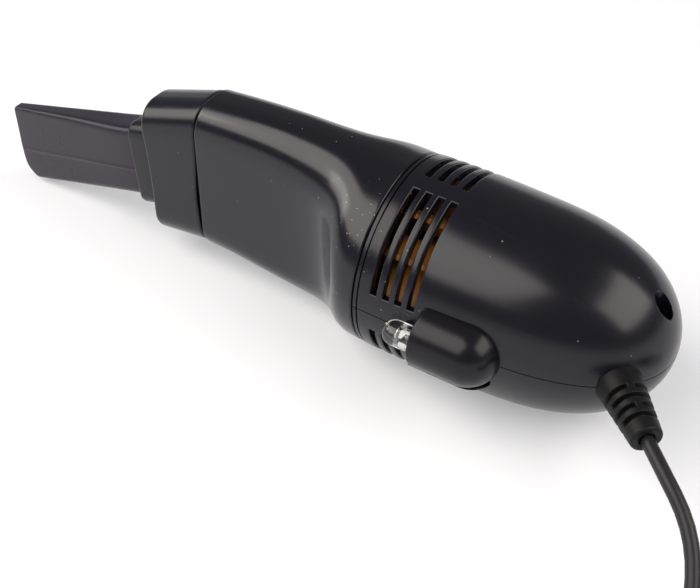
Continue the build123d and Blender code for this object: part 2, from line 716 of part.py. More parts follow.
def make_lamp_leads():
    leads = []
    bend = LAMP_END + 4.5
    for side in (-1, 1):
        z = side * LEAD_PITCH / 2
        half = LEAD_SIZE / 2
        back = block(LAMP_END, bend + half, LAMP_Y - half, LAMP_Y + half, z - half, z + half)
        inward = block(bend - half, bend + half, LAMP_Y - half, -RING_R + WALL + 3.0, z - half, z + half)
        leads.append(back + inward)
    return leads


def make_resistor():
    """Series resistor of the lamp, on the end of its upper lead."""
    x = LAMP_END + 4.5
    y = -RING_R + WALL + 3.0
    z = LEAD_PITCH / 2
    wire = rod(LEAD_SIZE / 2, x, x + 9, y + 0.3, z)
    return rod(0.9, x + 2, x + 6, y + 0.3, z) + wire


def make_switch_body():
    half = SWITCH_LENGTH / 2
    body = block(SWITCH_X - half, SWITCH_X + half, SWITCH_FACE - SWITCH_DEPTH, SWITCH_FACE,
                 -SWITCH_HEIGHT / 2, SWITCH_HEIGHT / 2)
    room = KNOB_LENGTH / 2 + SWITCH_TRAVEL / 2 + KNOB_CLEARANCE
    return body - block(SWITCH_X - room, SWITCH_X + room, SWITCH_FACE - 1.2, SWITCH_FACE + 1,
                        -KNOB_HEIGHT / 2 - 0.1, KNOB_HEIGHT / 2 + 0.1)


def make_switch_terminals():
    pins = []
    for step in (-1, 0, 1):
        x = SWITCH_X + 2.5 * step
        back = SWITCH_FACE - SWITCH_DEPTH
        pins.append(block(x - 0.25, x + 0.25, back - 0.9, back, -0.5, 0.5))
    return pins


def make_knob():
    x = SWITCH_X - SWITCH_TRAVEL / 2
    body = block(x - KNOB_LENGTH / 2, x + KNOB_LENGTH / 2, SWITCH_FACE - 1.1, KNOB_TOP,
                 -KNOB_HEIGHT / 2, KNOB_HEIGHT / 2)
    for step in (-1, 0, 1):
        body -= block(x + step * 0.75 - 0.15, x + step * 0.75 + 0.15, KNOB_TOP - 0.3, KNOB_TOP + 1, -2, 2)
    return body


def make_shell_screw():
    head = upright(SCREW_HEAD_R, SCREW_X, 0, SCREW_SEAT, SCREW_SEAT + SCREW_HEAD)
    shank = upright(SCREW_R - 0.02, SCREW_X, 0, SCREW_SEAT - SCREW_LENGTH, SCREW_SEAT)
    slot = block(SCREW_X - 1.2, SCREW_X + 1.2, -0.25, 0.25, SCREW_SEAT + 0.7, SCREW_SEAT + 3)
    cross = block(SCREW_X - 0.25, SCREW_X + 0.25, -1.2, 1.2, SCREW_SEAT + 0.7, SCREW_SEAT + 3)
    return head + shank - slot - cross


def make_relief(outer):
    """Segmented strain relief, held in the split of the shells by its neck."""
    frame = relief_frame()
    cone = Rot(0, 90, 0) * Cone(RELIEF_R, RELIEF_TIP_R, RELIEF_LENGTH)
    body = frame * (Pos(RELIEF_LENGTH / 2 - 0.2, 0, 0) * cone)
    body -= outer
    for index in range(RELIEF_BANDS):
        start = BAND_FIRST + BAND_PITCH * index - BAND_WIDTH / 2
        share = (start + BAND_WIDTH / 2) / RELIEF_LENGTH
        radius = RELIEF_R + (RELIEF_TIP_R - RELIEF_R) * share
        ring = tube(radius + 2, radius - BAND_DEPTH, start, start + BAND_WIDTH)
        spine = block(-1, RELIEF_LENGTH, -BAND_SPINE / 2, BAND_SPINE / 2, -9, 9)
        ring -= spine if index % 2 == 0 else Rot(90, 0, 0) * spine
        body -= frame * ring
    body += frame * rod(RELIEF_NECK_R, -WALL - 1.2, 1.5)
    body += frame * rod(RELIEF_FLANGE_R, -WALL - 2.4, -WALL - 2.4 + RELIEF_FLANGE)
    bore = rod(CORD_R + RELIEF_CLEARANCE, RELIEF_LENGTH - RELIEF_BORE, RELIEF_LENGTH + 2)
    return body - frame * bore


# Wires inside the housing

def wire(points, radius=WIRE_R):
    """A wire on straight runs joined by arcs."""
    radii = corner_radii([Vector(*point) for point in points])
    path = FilletPolyline(*points, radius=radii)
    return sweep(Plane(path @ 0, z_dir=path % 0) * Circle(radius), path=path)


def relief_point(reach, side=0.0, z=0.0):
    turn = radians(RELIEF_ANGLE)
    return (RELIEF_X + reach * cos(turn) - side * sin(turn), RELIEF_Y + reach * sin(turn) + side * cos(turn), z)


def make_wires():
    """Supply leads to the switch and the motor, and from the switch to the motor."""
    inside = -WALL - 2.7
    touch = WIRE_R + 0.02
    pin_y = SWITCH_FACE - SWITCH_DEPTH - WIRE_R - 0.05
    tab_z = 0.3 + touch
    feed = [relief_point(inside, 1.0), relief_point(inside - 3.0, 1.6, 1.0), (TAB_END + 1.7, 3.5, 2.2),
            (TAB_END - 1.6, 11.9, 2.2), (38.5, pin_y, 0.5 + touch), (SWITCH_X + 2.5, pin_y, 0.5 + touch)]
    ground = [relief_point(inside, -1.0), (TAB_END + 1.2, -BRUSH_Y - 1.6, tab_z), (TAB_END - 0.8, -BRUSH_Y, tab_z)]
    bridge = [(SWITCH_X, pin_y, -0.5 - touch), (38.5, pin_y, -0.5 - touch), (TAB_END - 0.9, 11.4, -1.6),
              (TAB_END - 0.8, BRUSH_Y, -tab_z)]
    return {"supply_wire_red": wire(feed), "supply_wire_black": wire(ground), "motor_wire_red": wire(bridge)}


# Lead, coil and plug

def corner_radii(points):
    """0.45 of the shorter run over the tangent of half the turn, at each corner."""
    radii = []
    for before, here, after in zip(points, points[1:], points[2:]):
        turn = radians((here - before).get_angle(after - here))
        shorter = min((here - before).length, (after - here).length)
        radii.append(0.45 * shorter / tan(turn / 2))
    return radii


CORD_CLEAR = Vector(*to_table(*relief_point(RELIEF_LENGTH + 3.5)))
COIL_START = Vector(CORD_CLEAR.X + COIL_REACH[0], CORD_CLEAR.Y + COIL_REACH[1], CORD_REST)


def round_coil(turn, radius):
    """Offset from the coil's middle after so many turns."""
    angle = radians(COIL_ANGLE) + 2 * pi * turn
    return Vector(radius * cos(angle), radius * sin(angle), 0)


def coil_heading(turn):
    """Direction of a level circle after so many turns."""
    return round_coil(turn + 0.25, 1)


def cord_route():
    """From inside the strain relief down to the table and to the coil's outer turn."""
    clear = CORD_CLEAR
    coil_end = COIL_START - coil_heading(0) * (2 * CORD_R)
    return [
        Vector(*to_table(*relief_point(RELIEF_LENGTH - RELIEF_BORE + 0.02))),
        clear,
        Vector(clear.X + 10.4, clear.Y - 7.9, 0.743 * clear.Z),
        Vector(clear.X + 14.9, clear.Y - 18.9, 0.348 * clear.Z),
        coil_end - coil_heading(0) * CORD_LANDING,
        coil_end,
    ]


def make_cord():
    points = cord_route()
    radii = corner_radii(points)
    print("cord radii", [round(radius, 1) for radius in radii])
    print("cord route", [(round(point.X, 2), round(point.Y, 2), round(point.Z, 2)) for point in points])
    path = FilletPolyline(*points, radius=radii)
    body = sweep(Plane(path @ 0, z_dir=path % 0) * Circle(CORD_R), path=path)
    print("cord volume over section times length", round(body.volume / (pi * CORD_R**2 * path.length), 4))
    return body


COIL_INNER_R = COIL_MEAN_R - COIL_PITCH * COIL_TURNS / 2
COIL_OUTER_R = COIL_MEAN_R + COIL_PITCH * COIL_TURNS / 2
COIL_MIDDLE = Vector(COIL_START.X, COIL_START.Y, 0) - round_coil(0, COIL_OUTER_R)


def coil_state(turn):
    """Radius and height after so many turns: in on the table, up a layer, and out again."""
    if turn <= COIL_TURNS:
        return COIL_OUTER_R - COIL_PITCH * turn, CORD_REST
    if turn <= COIL_TURNS + 0.5:
        share = (turn - COIL_TURNS) / 0.5
        dip = COIL_PITCH / (2 * pi) * sin(pi * share)
        return COIL_INNER_R - dip, CORD_REST + COIL_LAYER * share**2 * (3 - 2 * share)
    share = max(turn - 2 * COIL_TURNS, 0) / 0.5
    spread = COIL_TAIL_OUT * share**2 * (3 - 2 * share)
    return COIL_INNER_R + COIL_PITCH * (turn - COIL_TURNS - 0.5) + spread, CORD_REST + COIL_LAYER


def coil_point(turn):
    radius, height = coil_state(turn)
    return COIL_MIDDLE + round_coil(turn, radius) + Vector(0, 0, height)


def coil_nodes():
    """Ends of the coil's biarcs, a quarter turn apart, with the directions there."""
    total = 2 * COIL_TURNS + 0.5
    count = round(total * 4)
    nodes = []
    for step in range(count + 1):
        turn = total * step / count
        small = 0.001
        ahead = coil_point(min(turn + small, total))
        behind = coil_point(max(turn - small, 0))
        direction = (ahead - behind).normalized()
        if step in (0, count):
            direction = coil_heading(turn)
        nodes.append((coil_point(turn), direction))
    return nodes


def arc_middle(start, corner, end):
    """Middle of the arc that leaves start towards corner and reaches end."""
    half = (corner - start).get_angle(end - start)
    weight = cos(radians(half))
    return ((start + end) * 0.5 + corner * weight) * (1 / (1 + weight))


def biarc(start, out, end, into):
    """Two arcs that meet smoothly between two places with given directions."""
    span = end - start
    both = out + into
    lean = 1 - out.dot(into)
    reach = (-span.dot(both) + sqrt(span.dot(both) ** 2 + 2 * lean * span.dot(span))) / (2 * lean)
    joint = (start + end + (out - into) * reach) * 0.5
    first = ThreePointArc(start, arc_middle(start, start + out * reach, joint), joint)
    second = ThreePointArc(joint, arc_middle(joint, end - into * reach, end), end)
    return [first, second]


def coil_self_gap():
    """Least gap between turns, on points along the coil's line."""
    count = 48
    turns = [index / count for index in range(round((2 * COIL_TURNS + 0.5) * count) + 1)]
    points = [coil_point(turn) for turn in turns]
    least = 1e9
    for index, here in enumerate(points):
        for other in points[index + count * 2 // 3:]:
            least = min(least, (here - other).length)
    return least - 2 * CORD_R


def make_coil():
    nodes = coil_nodes()
    edges = []
    lead_in = nodes[0][0] - nodes[0][1] * (2 * CORD_R)
    edges.append(Line(lead_in, nodes[0][0]))
    for (start, out), (end, into) in zip(nodes, nodes[1:]):
        edges += biarc(start, out, end, into)
    last, direction = nodes[-1]
    edges.append(Line(last, last + direction * (2 * CORD_R)))
    path = Wire([edge if isinstance(edge, Edge) else edge.edge() for edge in edges])
    print("coil self-gap", round(coil_self_gap(), 2), "coil length", round(path.length, 1))
    return sweep(Plane(path @ 0, z_dir=path % 0) * Circle(CORD_R), path=path)


def plug_frame():
    """Place of the plug's tail face: where the coil's last straight bit ends, x along the plug."""
    place, direction = coil_nodes()[-1]
    place = place + direction * (2 * CORD_R)
    return Pos(*place) * Rot(0, 0, degrees(acos(direction.X)) * (1 if direction.Y > 0 else -1))


def make_plug_grip():
    """Overmoulded grip with a tapered tail."""
    tail = Pos(PLUG_TAIL / 2, 0, 0) * Rot(0, 90, 0) * Cone(CORD_R + 0.9, CORD_R + 1.7, PLUG_TAIL)
    grip = Pos(PLUG_TAIL + PLUG_LENGTH / 2 - 0.5, 0, 0) * Box(PLUG_LENGTH + 1, PLUG_WIDTH, PLUG_THICK)
    grip = fillet(grip.edges().filter_by(Axis.X), 1.6)
    body = grip + tail
    front = PLUG_TAIL + PLUG_LENGTH
    body -= block(front - 6, front + 1, -PLUG_SHELL[0] / 2 + 0.9, PLUG_SHELL[0] / 2 - 0.9, -1.6, 1.6)
    return body


def make_plug_shell():
    """Folded metal shell of the plug, with its two latch windows on each face."""
    width, thick, length = PLUG_SHELL
    start = PLUG_TAIL + PLUG_LENGTH
    body = block(start, start + length, -width / 2, width / 2, -thick / 2, thick / 2)
    wall = PLUG_SHELL_WALL
    body -= block(start - 1, start + length + 1, -width / 2 + wall, width / 2 - wall,
                  -thick / 2 + wall, thick / 2 - wall)
    for side in (-1, 1):
        body -= block(start + 4.6, start + 7.0, side * 3 - 1.2, side * 3 + 1.2, -5, 5)
    return body


def make_plug_tongue():
    width, thick, length = PLUG_SHELL
    start = PLUG_TAIL + PLUG_LENGTH
    half = width / 2 - 0.9
    return block(start - 5.8, start + length - 0.6, -half + 0.1, half - 0.1, -1.5, 0.3)


def make_plug_contacts():
    start = PLUG_TAIL + PLUG_LENGTH
    return [block(start + 2, start + PLUG_SHELL[2] - 1.2, y - 0.5, y + 0.5, 0.3, 0.5)
            for y in (-3.5, -1.1, 1.1, 3.5)]


# Assembly

outer, cavity = make_housing_solids()
ring = make_shell_ring(outer, cavity)
body_pieces = {
    "nozzle_tube": make_nozzle(),
    "nozzle_collar": make_collar(),
    "front_cap": make_front_cap(),
    "front_housing": make_front_housing(),
    "filter_frame": make_filter_frame(),
    "filter_cloth": make_filter_cloth(),
    "inlet_ring": make_inlet(),
    "fan": make_fan(),
    "upper_shell": make_upper_shell(ring, outer, cavity),
    "lower_shell": make_lower_shell(ring, outer, cavity),
    "motor_mount": make_mount(),
    "motor_can": make_motor_can(),
    "motor_end_cap": make_end_cap(),
    "front_bush": make_bush(MOTOR_FRONT - 1.0),
    "rear_bush": make_bush(MOTOR_REAR - 0.8),
    "motor_magnets": make_magnets(),
    "motor_shaft": rod(SHAFT_R, HUB_FRONT + 1.5, SHAFT_REAR),
    "armature_core": make_armature(),
    "armature_windings": make_windings(),
    "commutator": make_commutator(),
    "motor_brushes": make_brushes(),
    "motor_screws": make_motor_screws(),
    "lamp": make_lamp(),
    "lamp_leads": make_lamp_leads(),
    "lamp_resistor": make_resistor(),
    "switch_body": make_switch_body(),
    "switch_terminals": make_switch_terminals(),
    "switch_knob": make_knob(),
    "shell_screw": make_shell_screw(),
    "strain_relief": make_relief(outer),
}
body_pieces.update(make_wires())
for name, piece in body_pieces.items():
    solids = piece if isinstance(piece, list) else [piece]
    parts[name] = [settle(solid) for solid in solids]
parts["cord"] = [make_cord()]
parts["cord_coil"] = [make_coil()]
plug = plug_frame()
parts["plug_grip"] = [plug * make_plug_grip()]
parts["plug_shell"] = [plug * make_plug_shell()]
parts["plug_tongue"] = [plug * make_plug_tongue()]
parts["plug_contacts"] = [plug * contact for contact in make_plug_contacts()]

os.makedirs("parts", exist_ok=True)
for name, solids in parts.items():
    flat = [solid for piece in solids for solid in piece.solids()]
    shape = flat[0] if len(flat) == 1 else Compound(children=flat)
    shape.label = name
    export_step(shape, f"parts/{name}.step")
    print(name, len(flat), round(sum(solid.volume for solid in flat), 1))
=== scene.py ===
# %% [markdown]
# # A small vacuum cleaner for keyboards
#
# The object is a hand-sized vacuum cleaner that takes its power from a computer. It has a round motor
# housing with vents, a flat neck that holds the dust, a cap, and a soft smoky nozzle that droops forward.
# A clear lamp sits in a cowl beside the vents, and a thin lead leaves through a ribbed sleeve.
#
# The solid model is already packed as a fixed frame, in metres, and everything here is drawn in the same
# place. The shapes could be drawn by hand, but each one is a simple rule carried round or along a line, so
# numpy works out whole grids of points at once, and the numbers in millimetres stay easy to read.

# %% Load the frame
import math

import bmesh
import bpy
import numpy as np
from mathutils import Matrix, Vector


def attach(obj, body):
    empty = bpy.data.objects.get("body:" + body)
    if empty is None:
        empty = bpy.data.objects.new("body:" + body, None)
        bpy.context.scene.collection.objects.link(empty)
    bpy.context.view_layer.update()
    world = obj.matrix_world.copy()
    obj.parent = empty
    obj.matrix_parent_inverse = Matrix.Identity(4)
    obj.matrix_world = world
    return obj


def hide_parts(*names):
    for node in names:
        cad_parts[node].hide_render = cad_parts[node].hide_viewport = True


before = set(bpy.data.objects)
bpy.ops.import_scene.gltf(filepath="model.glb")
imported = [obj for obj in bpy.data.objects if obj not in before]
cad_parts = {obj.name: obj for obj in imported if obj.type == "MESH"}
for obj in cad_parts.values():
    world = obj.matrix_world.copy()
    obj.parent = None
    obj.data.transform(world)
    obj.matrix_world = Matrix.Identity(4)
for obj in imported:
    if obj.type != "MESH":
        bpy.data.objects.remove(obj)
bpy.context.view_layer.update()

# %% [markdown]
# ## Two ways to say where a point is
#
# The cleaner lies with its nose 1.6 degrees up, because it rests on its belly and on the tip of the
# nozzle. Drawing it in that lean would be awkward. So every shape is drawn square to the motor axis, with
# x = 0 at the joint ring, and one small function lays it on the table and turns millimetres into metres.

# %% From the cleaner's own frame to the table
REST_X, REST_DROP, PITCH = 15.0, 20.0, math.radians(1.6)


def on_table(points):
    """Turn points about y by the pitch, after moving the belly's contact to the origin."""
    points = np.asarray(points, float)
    along = points[..., 0] - REST_X
    up = points[..., 2] + REST_DROP
    x = along * math.cos(PITCH) + up * math.sin(PITCH)
    z = up * math.cos(PITCH) - along * math.sin(PITCH)
    return np.stack([x, points[..., 1], z], -1) / 1000


def off_table(points):
    """The way back: from metres on the table to millimetres in the cleaner's own frame."""
    points = np.asarray(points, float) * 1000
    along = points[..., 0] * math.cos(PITCH) - points[..., 2] * math.sin(PITCH)
    up = points[..., 0] * math.sin(PITCH) + points[..., 2] * math.cos(PITCH)
    return np.stack([along + REST_X, points[..., 1], up - REST_DROP], -1)


print("ring centre", on_table([0, 0, 0]), "and back", off_table(on_table([0, 0, 0])))

# %% [markdown]
# ## The camera
#
# The photograph was taken from close by, so its perspective is strong. The camera's place was worked out
# from the circles of the joint ring and from the lamp, and it is written here as a place and three
# directions: right, up and backwards.

# %% Camera
def in_scene(name, data):
    """An object that holds the data, linked into the scene."""
    thing = bpy.data.objects.new(name, data)
    bpy.context.scene.collection.objects.link(thing)
    return thing


camera_data = bpy.data.cameras.new("camera")
camera_data.sensor_width, camera_data.lens = 36.0, 56.57
camera_data.clip_start, camera_data.clip_end = 0.01, 20.0
camera = in_scene("camera", camera_data)
right = Vector((0.84543, 0.53401, -0.00965))
upward = Vector((-0.34257, 0.55602, 0.75728))
backward = Vector((0.40976, -0.63692, 0.65300))
facing = Matrix((right, upward, backward)).transposed().to_4x4()
camera.matrix_world = Matrix.Translation((0.07012, -0.15173, 0.15810)) @ facing
bpy.context.scene.camera = camera

# %% [markdown]
# ## Making a mesh from a grid
#
# A surface with two parameters is a grid of points: rows go one way and columns the other. The grid is
# joined into four-sided faces by index arithmetic. Where a row shrinks to a point, or two edges meet, the
# doubled points are merged, and then the faces are turned outwards.

# %% Grid helpers
def grid_faces(rows, columns, around_rows=False, around_columns=True):
    """Four corners per cell: here, one column on, one row and column on, one row on."""
    r = np.arange(rows if around_rows else rows - 1)
    c = np.arange(columns if around_columns else columns - 1)
    r, c = np.meshgrid(r, c, indexing="ij")
    after_r, after_c = (r + 1) % rows, (c + 1) % columns
    corners = [r * columns + c, r * columns + after_c, after_r * columns + after_c, after_r * columns + c]
    return np.stack(corners, -1).reshape(-1, 4)


def new_object(name, points, faces, smooth=True):
    """A mesh object at the origin, from points in metres and rows or lists of corner numbers."""
    mesh = bpy.data.meshes.new(name)
    corners = faces if isinstance(faces, list) else faces.tolist()
    mesh.from_pydata(np.asarray(points).reshape(-1, 3).tolist(), [], corners)
    work = bmesh.new()
    work.from_mesh(mesh)
    bmesh.ops.remove_doubles(work, verts=work.verts, dist=2e-7)
    bmesh.ops.dissolve_degenerate(work, edges=work.edges, dist=1e-8)
    bmesh.ops.recalc_face_normals(work, faces=work.faces)
    work.to_mesh(mesh)
    work.free()
    if smooth:
        mesh.polygons.foreach_set("use_smooth", np.ones(len(mesh.polygons), bool))
    return in_scene(name, mesh)


def from_grid(name, grid, around_rows=False, smooth=True):
    """A mesh object from a grid in the cleaner's own frame. Its columns go all the way round."""
    return new_object(name, on_table(grid), grid_faces(*grid.shape[:2], around_rows=around_rows), smooth)


def joined(parts):
    """Several point and face arrays as one."""
    points, faces, count = [], [], 0
    for some_points, some_faces in parts:
        points.append(some_points.reshape(-1, 3))
        faces.append(some_faces + count)
        count += len(points[-1])
    return np.concatenate(points), np.concatenate(faces)


def full_turn(count):
    """Even angles all the way round, the last one just before the first."""
    return np.linspace(0, 2 * np.pi, count, endpoint=False)


def quarter_turn(count):
    """Even angles from 0 to 90 degrees."""
    return np.linspace(0, np.pi / 2, count)


def ease(share):
    """A smooth rise from 0 to 1, level at both ends."""
    return share**2 * (3 - 2 * share)


def round_axis(x, radius, angle, y=0.0, z=0.0):
    """Rings round a line along x. Angle 0 is the far side, and 90 degrees is up."""
    x, r = np.asarray(x, float)[:, None], np.asarray(radius, float)[:, None]
    return np.stack(np.broadcast_arrays(x, y + r * np.cos(angle), z + r * np.sin(angle)), -1)


# %% [markdown]
# A finished mesh rides on one body of the frame and stands for the solids that it replaces. Some meshes
# are first cut or softened by modifiers, and these are settled at once, so that what is kept is plain.

# %% Piece helpers
def finish_piece(piece, body, material, replaces=()):
    """Give a piece its material, its body and the node that it stands for."""
    piece.data.materials.clear()
    piece.data.materials.append(material)
    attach(piece, body)
    if replaces:
        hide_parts(*replaces)
    triangles = sum(len(face.vertices) - 2 for face in piece.data.polygons) if piece.type == "MESH" else 0
    print(piece.name, "triangles", triangles)


def with_modifier(piece, kind, **values):
    """Add a modifier and set its values."""
    modifier = piece.modifiers.new(kind.lower(), kind)
    for key, value in values.items():
        setattr(modifier, key, value)


def settle_modifiers(piece):
    """Swap a piece's mesh for the one that its modifiers make."""
    graph = bpy.context.evaluated_depsgraph_get()
    done = bpy.data.meshes.new_from_object(piece.evaluated_get(graph))
    piece.modifiers.clear()
    piece.data = done


# %% [markdown]
# ## Finishes
#
# Almost everything here is black plastic, and what tells the pieces apart is how they shine. Each finish
# is a Principled shader, and small effects that several of them share are node groups: a moulded grain
# that breaks up the gloss, faint handling marks, and the pale dust that black plastic always shows.
#
# Nodes are written as sums are: what feeds a node is given where the node is made. Values in a row go to
# its sockets in order, names with a capital letter are sockets, and small letters are its own settings.

# %% Node helpers
FLOAT, COLOUR, VECTOR = "NodeSocketFloat", "NodeSocketColor", "NodeSocketVector"


def feed(tree, node, *values, **named):
    """Set a node up, then fill its sockets with numbers or links."""
    for key in [key for key in named if key.islower()]:
        setattr(node, key, named.pop(key))
    chosen = [(node.inputs[key.replace("_", " ")], value) for key, value in named.items()]
    for socket, value in [*zip(node.inputs, values), *chosen]:
        if isinstance(value, bpy.types.NodeSocket):
            tree.links.new(value, socket)
        elif value is not None:
            socket.default_value = value
    return node


def add(tree, kind, *values, **named):
    """A new node, fed at once."""
    return feed(tree, tree.nodes.new("ShaderNode" + kind), *values, **named)


def maths(tree, operation, *values, **named):
    """The result of a maths node."""
    return add(tree, "Math", *values, operation=operation, **named).outputs[0]


def mapped(tree, value, from_min, from_max, to_min=0.0, to_max=1.0, **named):
    """A value carried from one range to another."""
    return add(tree, "MapRange", value, from_min, from_max, to_min, to_max, **named).outputs[0]


def mixed(tree, share, first, second):
    """Two colours mixed. The mix node keeps its colours in inputs 6 and 7, after those for numbers."""
    return add(tree, "Mix", share, *[None] * 5, first, second, data_type="RGBA").outputs[2]


def object_place(tree):
    """Where the shaded point is on its object."""
    return add(tree, "TexCoord").outputs["Object"]


def group_with(name, inputs, outputs):
    """An empty node group: the tree, the sockets that it is given, and the node that it ends in."""
    group = bpy.data.node_groups.new(name, "ShaderNodeTree")
    for label, kind, value in inputs:
        socket = group.interface.new_socket(label, in_out="INPUT", socket_type=kind)
        if value is not None:
            socket.default_value = value
    for label, kind in outputs:
        group.interface.new_socket(label, in_out="OUTPUT", socket_type=kind)
    return group, group.nodes.new("NodeGroupInput").outputs, group.nodes.new("NodeGroupOutput")


def new_material(name):
    """A material with its node tree and its shader."""
    material = bpy.data.materials.new(name)
    material.use_nodes = True
    return material, material.node_tree, material.node_tree.nodes["Principled BSDF"]


# %% [markdown]
# ### Moulded grain
#
# A tool's steel leaves a very fine, even texture on plastic. Two noises do it: a fine one for the height
# and the roughness, and a slow one for the large soft clouds in the gloss that a big moulding shows.

# %% Moulded grain group
grain_group, given, end = group_with(
    "moulded_grain",
    [("Vector", VECTOR, None), ("Colour", COLOUR, (0.02, 0.02, 0.02, 1)), ("Roughness", FLOAT, 0.35),
     ("Grain", FLOAT, 2500.0), ("Clouds", FLOAT, 60.0), ("Spread", FLOAT, 0.06), ("Tint", FLOAT, 0.15)],
    [("Colour", COLOUR), ("Roughness", FLOAT), ("Height", FLOAT)],
)
fine = add(grain_group, "TexNoise", Vector=given["Vector"], Scale=given["Grain"], Detail=2.0, Roughness=0.5)
slow = add(grain_group, "TexNoise", Vector=given["Vector"], Scale=given["Clouds"], Detail=3.0, Roughness=0.55)
cloud = maths(grain_group, "SUBTRACT", slow.outputs["Fac"], 0.5)
swing = maths(grain_group, "MULTIPLY", cloud, given["Spread"])
gloss = maths(grain_group, "ADD", given["Roughness"], swing, use_clamp=True)
shade = maths(grain_group, "MULTIPLY_ADD", cloud, given["Tint"], 1.0)
tone = add(grain_group, "VectorMath", given["Colour"], Scale=shade, operation="SCALE")
feed(grain_group, end, tone.outputs[0], gloss, fine.outputs["Fac"])

# %% [markdown]
# ### Handling marks and dust
#
# Hair-fine scratches come from a noise that is stretched a long way in one direction, cut to thin lines.
# Dust is a cell pattern of which only a few cells keep a small dot, and more of them round the joint ring,
# where the cleaner blows its air out. Both come out as masks from 0 to 1.

# %% Marks and dust group
DUSTY_SPOT, DUSTY_REACH = on_table([-3.0, -15.5, 12.5]), 0.016

dust_group, given, end = group_with(
    "marks_and_dust",
    [("Vector", VECTOR, None), ("Scratches", FLOAT, 0.3), ("Dust", FLOAT, 0.2), ("Dust size", FLOAT, 900.0)],
    [("Scratches", FLOAT), ("Dust", FLOAT)],
)
stretch = add(dust_group, "Mapping", Vector=given["Vector"], Rotation=(0.3, 0.5, 0.9),
              Scale=(12.0, 700.0, 260.0))
lines = add(dust_group, "TexNoise", Vector=stretch.outputs[0], Scale=1.0, Detail=3.0, Roughness=0.7,
            Distortion=0.4)
thin = mapped(dust_group, lines.outputs["Fac"], 0.62, 0.72)
scratch = maths(dust_group, "MULTIPLY", thin, given["Scratches"])
cells = add(dust_group, "TexVoronoi", Vector=given["Vector"], Scale=given["Dust size"], Randomness=1.0)
spot = mapped(dust_group, cells.outputs["Distance"], 0.26, 0.10)
few = add(dust_group, "SeparateColor", cells.outputs["Color"])
away = add(dust_group, "VectorMath", given["Vector"], DUSTY_SPOT, operation="DISTANCE")
near = mapped(dust_group, away.outputs["Value"], 0.0, DUSTY_REACH, 0.16, 0.0, interpolation_type="SMOOTHSTEP")
rare = mapped(dust_group, maths(dust_group, "ADD", few.outputs[0], near), 0.990, 1.0)
dust = maths(dust_group, "MULTIPLY", maths(dust_group, "MULTIPLY", spot, rare), given["Dust"])
feed(dust_group, end, scratch, dust)

# %% [markdown]
# ### One maker for plain plastics, rubbers and metals
#
# The shader stays in the material, and the groups feed it. What is the same all over a surface, such as
# the metal value or how much light goes through, is set on the shader's own socket.

# %% Finish maker
DUST_COLOUR, GRAIN_HEIGHT = (0.75, 0.72, 0.68, 1), 0.0002


def finish(name, colour, roughness, grain=2500.0, depth=0.02, spread=0.06, tint=0.15, clouds=60.0,
           scratches=0.25, dust=0.0, dust_size=1300.0, **sockets):
    """A Principled material with moulded grain, faint marks and dust."""
    material, tree, shader = new_material(name)
    place = object_place(tree)
    moulded = add(tree, "Group", place, (*colour, 1), roughness, grain, clouds, spread, tint,
                  node_tree=grain_group)
    marks = add(tree, "Group", place, scratches, dust, dust_size, node_tree=dust_group)
    rougher = maths(tree, "MULTIPLY_ADD", marks.outputs["Scratches"], 0.25, moulded.outputs["Roughness"],
                    use_clamp=True)
    bump = add(tree, "Bump", Strength=depth, Distance=GRAIN_HEIGHT, Height=moulded.outputs["Height"])
    feed(tree, shader, Base_Color=mixed(tree, marks.outputs["Dust"], moulded.outputs["Colour"], DUST_COLOUR),
         Roughness=rougher, Normal=bump.outputs[0], **sockets)
    return material


shell_black = finish("shell_black", (0.0056, 0.0051, 0.0096), 0.22, depth=0.03, dust=0.35,
                     Specular_IOR_Level=0.37)
neck_black = finish("neck_black", (0.0054, 0.0048, 0.0092), 0.19, dust=0.4, dust_size=1900.0,
                    Specular_IOR_Level=0.46)
cap_black = finish("cap_black", (0.0056, 0.0050, 0.0094), 0.21, dust=0.2, Specular_IOR_Level=0.38)
collar_black = finish("collar_black", (0.0062, 0.0056, 0.0105), 0.28, depth=0.03, dust=0.2,
                      Specular_IOR_Level=0.33)
cowl_black = finish("cowl_black", (0.0056, 0.0050, 0.0080), 0.26, depth=0.03, dust=0.2,
                    Specular_IOR_Level=0.28)
print("plastics ready")

# %% [markdown]
# ## Neck, shoulder and dust chamber
#
# The neck is a flat tube with rounded corners that swells into the round ring. It could be a subdivided
# box, but the corner line under the highlight is crisp on the real one, and subdivision would soften it.
# So each section is a true rounded rectangle, and its width, height and corner follow smooth curves. A
# weighted mean along them, with a bell curve 1.3 mm wide, takes out the last kinks in their bend, which
# would show as wavy reflections in the hollow of the shoulder.

# %% Smooth curves through a few rows
def cubic(knots, values, slopes, at):
    """A curve through the values at the knots, cubic between them, with the given slopes there."""
    k = np.clip(np.searchsorted(knots, at, side="right") - 1, 0, len(knots) - 2)
    span = (knots[k + 1] - knots[k])[:, None]
    share = (at - knots[k])[:, None] / span
    bend = share * (1 - share) * span * (slopes[k] * (1 - share) - slopes[k + 1] * share)
    return values[k] * (1 - ease(share)) + values[k + 1] * ease(share) + bend


def through_rows(rows, x):
    """Each column as a curve through the rows, with slopes that never overshoot."""
    rows = np.asarray(rows, float)
    rates = np.diff(rows[:, 1:], axis=0) / np.diff(rows[:, 0])[:, None]
    product, total = rates[:-1] * rates[1:], rates[:-1] + rates[1:]
    inner = np.where(product > 0, 2 * product / np.where(total == 0, 1, total), 0)
    return cubic(rows[:, 0], rows[:, 1:], np.vstack([rates[:1], inner, rates[-1:]]), x)


